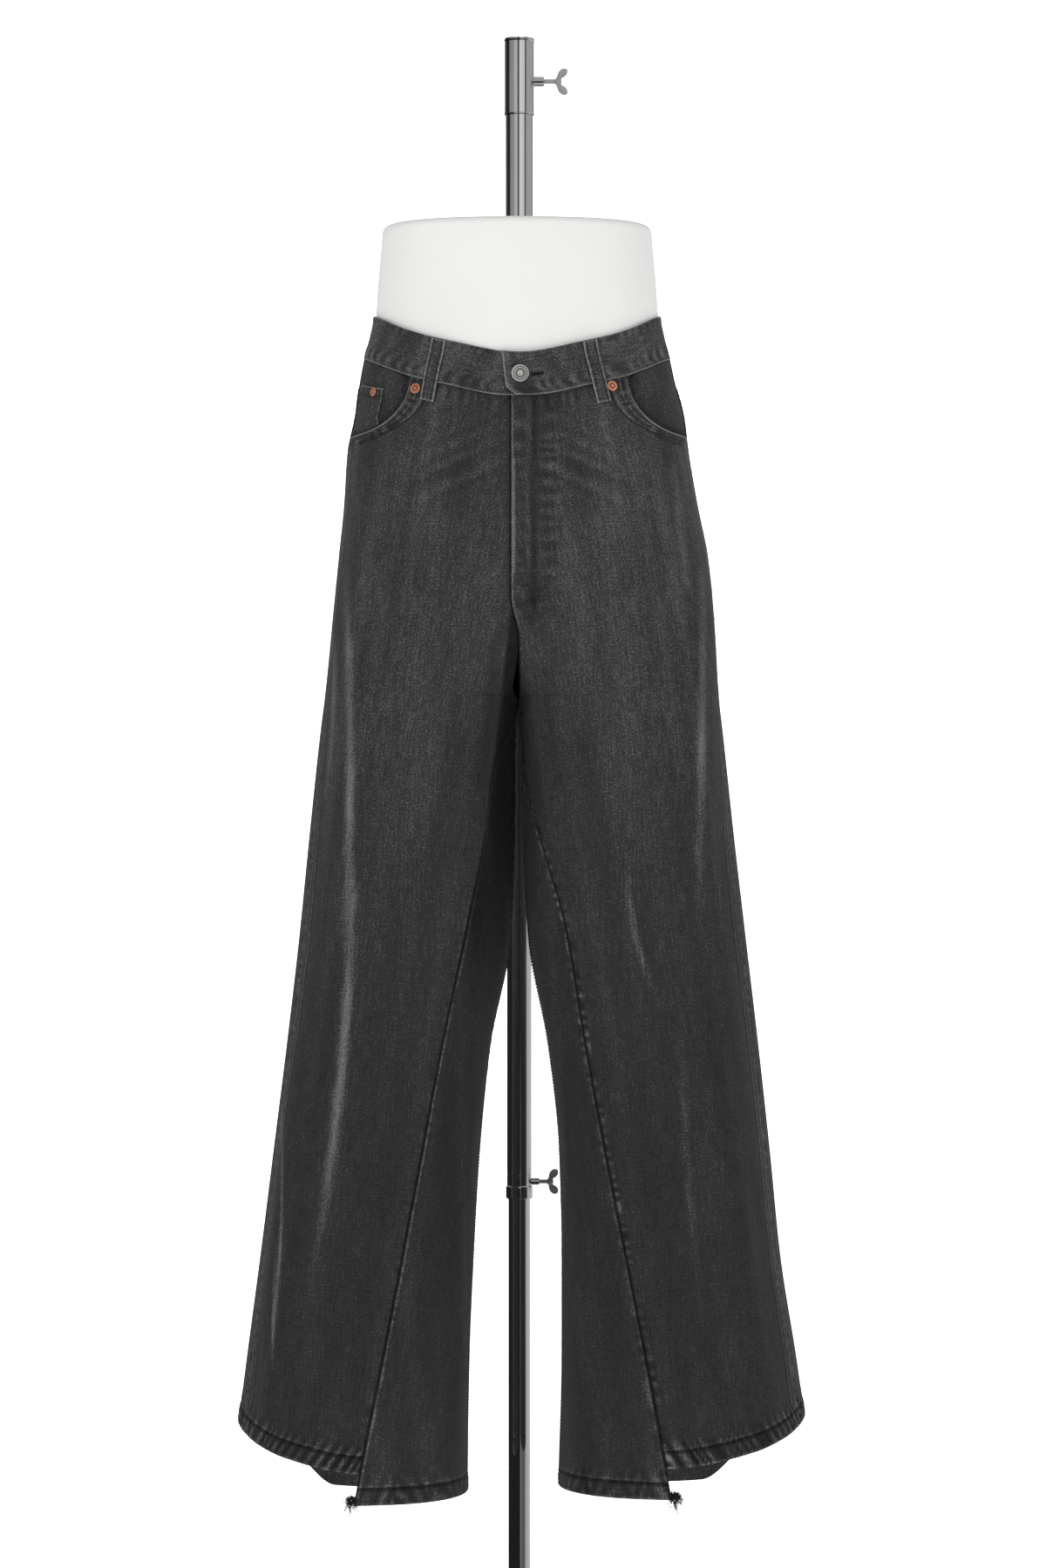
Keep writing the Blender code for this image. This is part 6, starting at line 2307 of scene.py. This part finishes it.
FORM_RINGS = (
    FormRing(1.4020, 0.1329, 0.0870, 0.0915), FormRing(1.3760, 0.1351, 0.0898, 0.0945),
    FormRing(1.3450, 0.1377, 0.0928, 0.0984), FormRing(1.3180, 0.1393, 0.0953, 0.1007),
    FormRing(1.2755, 0.1416, 0.0992, 0.1035), FormRing(1.2340, 0.1430, 0.0995, 0.1060),
    FormRing(1.1870, 0.1465, 0.1010, 0.1090), FormRing(1.1350, 0.1490, 0.1020, 0.1110),
    FormRing(1.0840, 0.1485, 0.1005, 0.1110), FormRing(1.0320, 0.1420, 0.0930, 0.1020),
)


@dataclass
class HipForm:
    """Smooth limbless shell, closed on top and open below."""

    top: float = 1.410
    shoulder: float = 1.4020
    foot: float = 1.032
    wall: float = 0.003
    corner: float = 0.008
    side_shift: float = 0.0019
    outer_rows: int = 40
    inner_rows: int = 24
    sides: int = 160

    def ring(self, z: Array, shrink: Array) -> Array:
        """Rounded ovals at heights z, moved in by shrink.

        Args:
            z: Heights.
            shrink: Distances inward.

        Returns:
            Rows of points.
        """
        half, front, back = (read_table(FORM_RINGS, column, z)[:, None]
                             for column in ("half_width", "front", "back"))
        c, s = unit_circle(self.sides)
        shrink = shrink[:, None]
        width = half + np.where(c > 0, -self.side_shift, self.side_shift) - shrink
        depth = np.where(s < 0, front, back) - shrink
        x = width * c * (1 + SHAPE.round * s * s)
        y = depth * s * (1 + SHAPE.round * c * c)
        return np.stack([x, y, np.broadcast_to(z[:, None], x.shape)], axis=-1)

    def build(self) -> None:
        """The outer skin up to its rounded top edge, the top, and the inner skin back down."""
        arc = np.radians(np.linspace(0.0, 90.0, 9))[1:]
        flat = np.linspace(self.corner, 0.080, 7)[1:]
        z = np.concatenate([np.linspace(self.foot, self.shoulder, self.outer_rows),
                            self.shoulder + self.corner * np.sin(arc), np.full(len(flat), self.top)])
        shrink = np.concatenate([np.zeros(self.outer_rows), self.corner * (1 - np.cos(arc)), flat])
        inner_z = np.concatenate([np.full(4, self.top - self.wall),
                                  np.linspace(self.shoulder - 0.002, self.foot, self.inner_rows)])
        inner_shrink = self.wall + np.concatenate([flat[::-1][:4] - 0.004, np.zeros(self.inner_rows)])
        shells = []
        for heights, inset in ((z, shrink), (inner_z, inner_shrink)):
            shell = self.ring(np.minimum(heights, self.shoulder), inset)
            shell[..., 2] = heights[:, None]
            shells.append(shell)
        n, outer_count = self.sides, len(z)
        rows = outer_count + len(inner_z)
        first = np.arange(n)
        quads = grid_faces(rows, n, wrap=True)
        step = (outer_count - 1) * n
        keep = (quads.min(axis=1) < step) | (quads.min(axis=1) >= step + n)
        faces = [quads[keep], bridge((rows - 1) * n + first, first), (step + first)[None],
                 (step + n + first)[::-1][None]]
        settle(new_object("hip_form_shell", np.concatenate(shells).reshape(-1, 3), faces,
                          FormFinish().material(), 50.0), BODY, "hip_form")


@dataclass
class Stand:
    """Base, telescoping chrome tubes, clamps, wing screws and the arm to the form."""

    pole_y: float = 0.158
    base_radius: float = 0.170
    base_height: float = 0.008
    lower: tuple[float, float] = (0.0095, 0.0110)
    middle: tuple[float, float] = (0.0114, 0.0125)
    sleeve: tuple[float, float] = (0.0129, 0.0140)
    form_top: float = 1.410
    clamp_z: float = 0.4531
    collar_z: float = 1.5790
    chrome: MetalFinish = MetalFinish("polished_chrome", (0.80, 0.80, 0.81), 0.055, 0.03, 700.0)
    cast: MetalFinish = MetalFinish("satin_cast_metal", (0.46, 0.46, 0.46), 0.36, 0.12, 1300.0, 0.00010,
                                    (0.26, 0.26, 0.26), 0.40)

    def part(self, node: str, profile: list, body: str, material: bpy.types.Material,
             ring: bool = True, sides: int = 96) -> None:
        """A piece turned round the pole's axis that stands for its CAD node."""
        thing = turned(node + "_metal", profile, material, (0.0, self.pole_y, 0.0), sides=sides, ring=ring)
        settle(thing, body, node)

    @staticmethod
    def tube_profile(radii: tuple[float, float], low: float, high: float) -> list:
        """A tube's wall with small round lips.

        Args:
            radii: Inner and outer radius.
            low: Lower end.
            high: Upper end.

        Returns:
            (radius, height) rows.
        """
        inner, outer = radii
        edge = 0.0003
        return [(inner, low), (outer - edge, low), (outer, low + edge), (outer, high - edge),
                (outer - edge, high), (inner, high)]

    def build(self) -> None:
        """Every piece of the stand, bottom to top."""
        chrome, cast = self.chrome.material(), self.cast.material()
        r, h, e = self.base_radius, self.base_height, 0.0012
        self.part("base_plate", [(AXIS, 0.0), (r - e, 0.0), (r - e * 0.3, e * 0.3), (r, e), (r, h - e),
                                 (r - e * 0.3, h - e * 0.3), (r - e, h), (AXIS, h)],
                  "stand_base", chrome, ring=False, sides=160)
        foot = h + GAP
        self.part("base_hub", [(0.0114, foot), (0.0260, foot), (0.0260, foot + 0.003),
                               (0.0215, foot + 0.0045), (0.0180, foot + 0.008), (0.0155, foot + 0.0125),
                               (0.0142, foot + 0.018), (0.0138, 0.0442), (0.0134, 0.045),
                               (0.0114, 0.045)], "stand_base", chrome)
        self.part("lower_tube", self.tube_profile(self.lower, foot, 0.950), "stand_base", chrome)
        self.part("mid_tube", self.tube_profile(self.middle, 0.4603, 1.615), "pole", chrome)
        self.part("sleeve_tube", self.tube_profile(self.sleeve, 1.385, 1.5442), BODY, chrome)
        self.clamp(chrome)
        self.collar(chrome)
        self.wing_screw("clamp_wing_screw", "clamp_screw", self.clamp_z, (0.0143, 0.0287, 0.0412),
                        0.0022, 0.0120, cast)
        self.wing_screw("collar_wing_screw", "collar_screw", self.collar_z, (0.0158, 0.0370, 0.0509),
                        0.0026, 0.0129, cast)
        self.arm(chrome)

    def boss(self, name: str, body: str, z: float, run: tuple[float, float], radius: float, bore: float,
             chrome: bpy.types.Material) -> None:
        """A bored boss along +X, over a run of x.

        Args:
            name: The piece's name.
            body: The body that it rides on.
            z: Height of its axis.
            run: Its start and end in x.
            radius: Outer radius.
            bore: Inner radius.
            chrome: The material.
        """
        start, reach = run
        edge = 0.0004
        profile = [(bore, start), (radius, start), (radius, reach - edge), (radius - edge, reach),
                   (bore + edge, reach), (bore, reach - edge)]
        place = (0.0, self.pole_y, z)
        settle(turned(name, profile, chrome, place, (1.0, 0.0, 0.0), 48, True), body)

    def clamp(self, chrome: bpy.types.Material) -> None:
        """The pole's clamp: a narrow ring, and a boss that carries its screw.

        Args:
            chrome: The material.
        """
        bore, low, high, top = self.middle[0], 0.4361, 0.4486, 0.4600
        ring = [(bore, low), (0.0132, low), (0.0135, low + 0.0003), (0.0136, low + 0.001),
                (0.0136, high - 0.001), (0.0135, high - 0.0003), (0.0132, high),
                (0.0125, high + 0.0006), (0.0125, top), (bore, top)]
        self.part("clamp_ring", ring, "pole", chrome)
        self.boss("clamp_boss", "pole", self.clamp_z, (0.0118, 0.0207), 0.0036, 0.0026, chrome)

    def collar(self, chrome: bpy.types.Material) -> None:
        """The sleeve's top collar with its rolled rim and boss.

        Args:
            chrome: The material.
        """
        bore, low, high = self.sleeve[0], 1.5445, 1.6230
        ring = [(bore, low), (0.0149, low), (0.0153, low + 0.0003), (0.0155, low + 0.001),
                (0.0153, low + 0.0022), (0.0151, low + 0.003), (0.0151, high - 0.0035),
                (0.0153, high - 0.0029), (0.0155, high - 0.0022), (0.0155, high - 0.0010),
                (0.0153, high - 0.0004), (0.0149, high), (bore, high)]
        self.part("top_collar", ring, BODY, chrome)
        self.boss("collar_boss", BODY, self.collar_z, (0.0140, 0.0254), 0.0049, 0.0031, chrome)

    def wing_screw(self, node: str, body: str, z: float, places: tuple[float, float, float],
                   stem: float, span: float, cast: bpy.types.Material) -> None:
        """Threaded stem, hub and two lobed wings that lean outward.

        The thread is a fine ripple of the stem's radius. A wing is an oval carried from the
        hub to its round end along a power curve, narrow at the root and broad near the end.

        Args:
            node: The CAD node that it stands for.
            body: The body that it rides on.
            z: Height of its axis.
            places: x of the stem's tip, of the hub's shoulder and of the wings' ends.
            stem: The stem's radius.
            span: How far each wing reaches off the axis.
            cast: The material.
        """
        tip, shoulder, reach = places
        thread, depth = 0.0011, 0.00012
        run = np.linspace(tip, shoulder, 60)
        ripple = stem - depth + depth * np.cos(TAU * (run - tip) / thread)
        profile = [(AXIS, tip), *zip(ripple, run), (stem * 1.35, shoulder + 0.0003),
                   (stem * 1.7, shoulder + 0.0012), (stem * 1.75, shoulder + 0.0030),
                   (stem * 1.6, shoulder + 0.0050), (stem * 1.1, shoulder + 0.0062),
                   (AXIS, shoulder + 0.0064)]
        place = (0.0, self.pole_y, z)
        settle(turned(node + "_metal", profile, cast, place, (1.0, 0.0, 0.0), 32), body, node)
        rows, sides = 22, 20
        t = np.linspace(0.0, 1.0, rows)
        cosine, sine = unit_circle(sides)
        x = shoulder + 0.0024 + (reach - 0.0042 - shoulder) * t ** 1.5
        up = 0.0012 + (span - 0.0013) * t
        broad = 0.0019 + 0.0022 * np.sin(math.pi * np.clip(t * 1.08 - 0.20, 0, 1)) ** 1.2
        broad = broad * np.sqrt(np.clip(1 - np.clip((t - 0.80) / 0.20, 0, 1) ** 2, 0.02, 1))
        thick = 0.0013 * np.sqrt(np.clip(1 - np.clip((t - 0.88) / 0.12, 0, 1) ** 2, 0.05, 1))
        slope = np.stack([np.gradient(x, t), np.gradient(up, t)], axis=-1)
        slope /= np.linalg.norm(slope, axis=-1, keepdims=True)
        px = x[:, None] + broad[:, None] * cosine * slope[:, 1:]
        pz = up[:, None] - broad[:, None] * cosine * slope[:, :1]
        py = thick[:, None] * sine + 0 * px
        for sign, label in ((1, "upper"), (-1, "lower")):
            points = np.stack([px, py + self.pole_y, z + sign * pz], axis=-1).reshape(-1, 3)
            wing = new_object(f"{node}_{label}_wing", points,
                              [grid_faces(rows, sides, wrap=True), end_caps(rows, sides)], cast, 60.0)
            settle(wing, body)

    def arm(self, chrome: bpy.types.Material) -> None:
        """Ring on the sleeve, flat bar, and the flange on the form's top.

        Args:
            chrome: The material.
        """
        low = self.form_top + GAP
        bore, e = 0.01445, 0.0006
        ring = [(bore, low - 0.018), (0.0190 - e, low - 0.018), (0.0190, low - 0.018 + e),
                (0.0190, low + 0.006 - e), (0.0190 - e, low + 0.006), (bore, low + 0.006)]
        self.part("form_arm", ring, BODY, chrome)
        flange = [(AXIS, low), (0.034, low), (0.034, low + 0.0039), (0.0334, low + 0.0045),
                  (AXIS, low + 0.0045)]
        settle(turned("arm_flange", flange, chrome), BODY)
        half, end = 0.0125, self.pole_y - 0.0172
        x = np.array([-half, -half + e, half - e, half, half, half - e, -half + e, -half])
        z = np.array([e, 0, 0, e, 0.006 - e, 0.006, 0.006, 0.006 - e]) + low
        rows = [np.stack([x, np.full(len(x), y), z], axis=-1) for y in (0.0, end)]
        faces = [grid_faces(2, len(x), wrap=True), end_caps(2, len(x))]
        settle(new_object("arm_bar", np.concatenate(rows), faces, chrome, 30.0), BODY)


# ---------------------------------------------------------------- room, light, camera
# (share of a turn, tone) round the room from +Y over -X, -Y and +X: below the horizon, then above it.
LOW_TONES = (
    (0.0, 0.40), (1.0, 0.25), (0.040, 0.40), (0.055, 0.02), (0.522, 0.02), (0.535, 0.24), (0.570, 0.24),
    (0.590, 0.12), (0.680, 0.20), (0.705, 0.55), (0.880, 0.75), (0.905, 0.75), (0.930, 0.25),
)
HIGH_TONES = (
    (0.0, 0.45), (1.0, 0.30), (0.120, 0.45), (0.145, 0.03), (0.265, 0.04), (0.280, 0.34), (0.385, 0.44),
    (0.400, 0.68), (0.462, 0.68), (0.468, 0.05), (0.497, 0.06), (0.505, 1.0), (0.620, 0.85),
    (0.630, 0.07), (0.652, 0.07), (0.660, 0.50), (0.850, 0.55), (0.880, 0.28),
)


@dataclass
class Studio:
    """White sweep, soft lights and the camera at the photo's low, level angle."""

    camera_place: tuple = (0.0039, -4.2, 0.86)
    focal_pixels: float = 4884.0
    picture_height: float = 1799.0
    sensor: float = 36.0
    key: float = 31.0
    fill: float = 14.0
    top: float = 11.5
    wall_y: float = 11.9
    bend: float = 3.4

    def build(self) -> None:
        """Camera, sweep, lights and sky."""
        bpy.context.scene.view_settings.view_transform = "Standard"
        camera = bpy.data.cameras.new("camera")
        camera.lens = self.sensor * self.focal_pixels / self.picture_height
        camera.sensor_width = self.sensor
        camera.clip_end = 100.0
        holder = bpy.data.objects.new("camera", camera)
        holder.location = self.camera_place
        holder.rotation_euler = (math.pi / 2, 0.0, 0.0)
        bpy.context.scene.collection.objects.link(holder)
        bpy.context.scene.camera = holder
        self.sweep()
        self.light("key_light", (-1.7, -2.8, 2.5), (1.4, 1.2), self.key, (0.0, 0.0, 1.05))
        self.light("fill_light", (2.4, -2.6, 2.2), (2.2, 1.8), self.fill, (0.0, 0.0, 1.0))
        self.light("top_light", (0.0, -0.6, 3.4), (2.4, 2.0), self.top, (0.0, 0.0, 1.0))
        self.sky()

    def sweep(self) -> None:
        """Floor that curves up into a wall, lit evenly white."""
        g = Graph("white_sweep")
        g.set(Roughness=0.9, Base_Color=(0.9, 0.9, 0.9, 1.0), Emission_Color=(1.0, 1.0, 1.0, 1.0),
              Emission_Strength=1.0)
        t = np.radians(np.linspace(0.0, 90.0, 24))
        bend, back, floor_z = self.bend, self.wall_y - self.bend, -0.001
        y = np.concatenate([[-1.7 * self.wall_y], back + bend * np.sin(t), [self.wall_y]])
        z = np.concatenate([[floor_z], bend + floor_z - bend * np.cos(t), [1.3 * self.wall_y]])
        x = np.linspace(-1.6, 1.6, 3) * self.wall_y
        shape = (len(y), len(x))
        points = np.stack([np.broadcast_to(grid, shape) for grid in (x, y[:, None], z[:, None])], axis=-1)
        floor = new_object("sweep", points.reshape(-1, 3), [grid_faces(*shape)], g.material, 60.0)
        floor.visible_glossy = False

    def light(self, name: str, place: tuple, size: tuple, power: float, target: tuple) -> None:
        """A soft rectangular light that isn't seen in the chrome.

        Args:
            name: The light's name.
            place: Where it stands.
            size: Width and height.
            power: Watts.
            target: Where it points.
        """
        data = bpy.data.lights.new(name, "AREA")
        data.shape = "RECTANGLE"
        data.size, data.size_y = size
        data.energy = power
        thing = bpy.data.objects.new(name, data)
        bpy.context.scene.collection.objects.link(thing)
        thing.location = place
        towards = np.asarray(target, float) - np.asarray(place, float)
        towards /= np.linalg.norm(towards)
        thing.rotation_euler = (math.acos(-towards[2]), 0.0, math.atan2(-towards[0], towards[1]))
        thing.visible_glossy = False

    def sky(self) -> None:
        """Dim room in front, pale walls beside and behind, as the chrome mirrors them."""
        world = bpy.data.worlds.new("room")
        bpy.context.scene.world = world
        world.use_nodes = True
        nodes = Nodes(world.node_tree)
        x, y, z = nodes.split(nodes.place("Generated"))
        turn = nodes.math("ARCTAN2", x, nodes.math("MULTIPLY", y, -1.0))
        share = nodes.math("ADD", nodes.math("DIVIDE", turn, TAU), 0.5)
        low, high = (nodes.ramp(share, tuple((at, (tone, tone, tone * 0.985)) for at, tone in tones))
                     for tones in (LOW_TONES, HIGH_TONES))
        mix = nodes.tree.nodes.new("ShaderNodeMix")
        mix.data_type = "RGBA"
        nodes.join(nodes.rise(z, 0.02, 0.08), mix.inputs["Factor"])
        nodes.join(low, mix.inputs["A"])
        nodes.join(high, mix.inputs["B"])
        background = nodes.tree.nodes["Background"]
        nodes.join(mix.outputs["Result"], background.inputs["Color"])
        background.inputs["Strength"].default_value = 0.75


def main() -> None:
    """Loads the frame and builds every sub-assembly in order."""
    logging.basicConfig(level=logging.INFO, format="%(name)s: %(message)s")
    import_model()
    pockets, waist = Pockets(), Waist()
    legs = Legs(pockets)
    legs.build()
    pockets.facing(Side.LEFT)
    pocket_stitching = Stitching("pocket_stitching", ThreadFinish("pocket_thread", (0.024, 0.024, 0.026)))
    pockets.coin(pockets.facing(Side.RIGHT), pocket_stitching)
    for side in Side:
        pockets.back(legs.backs[side], pocket_stitching)
    pocket_stitching.build()
    waist.build()
    Hardware().build(waist, pockets)
    Frays().build()
    HipForm().build()
    Stand().build()
    Studio().build()


if __name__ == "__main__":
    main()
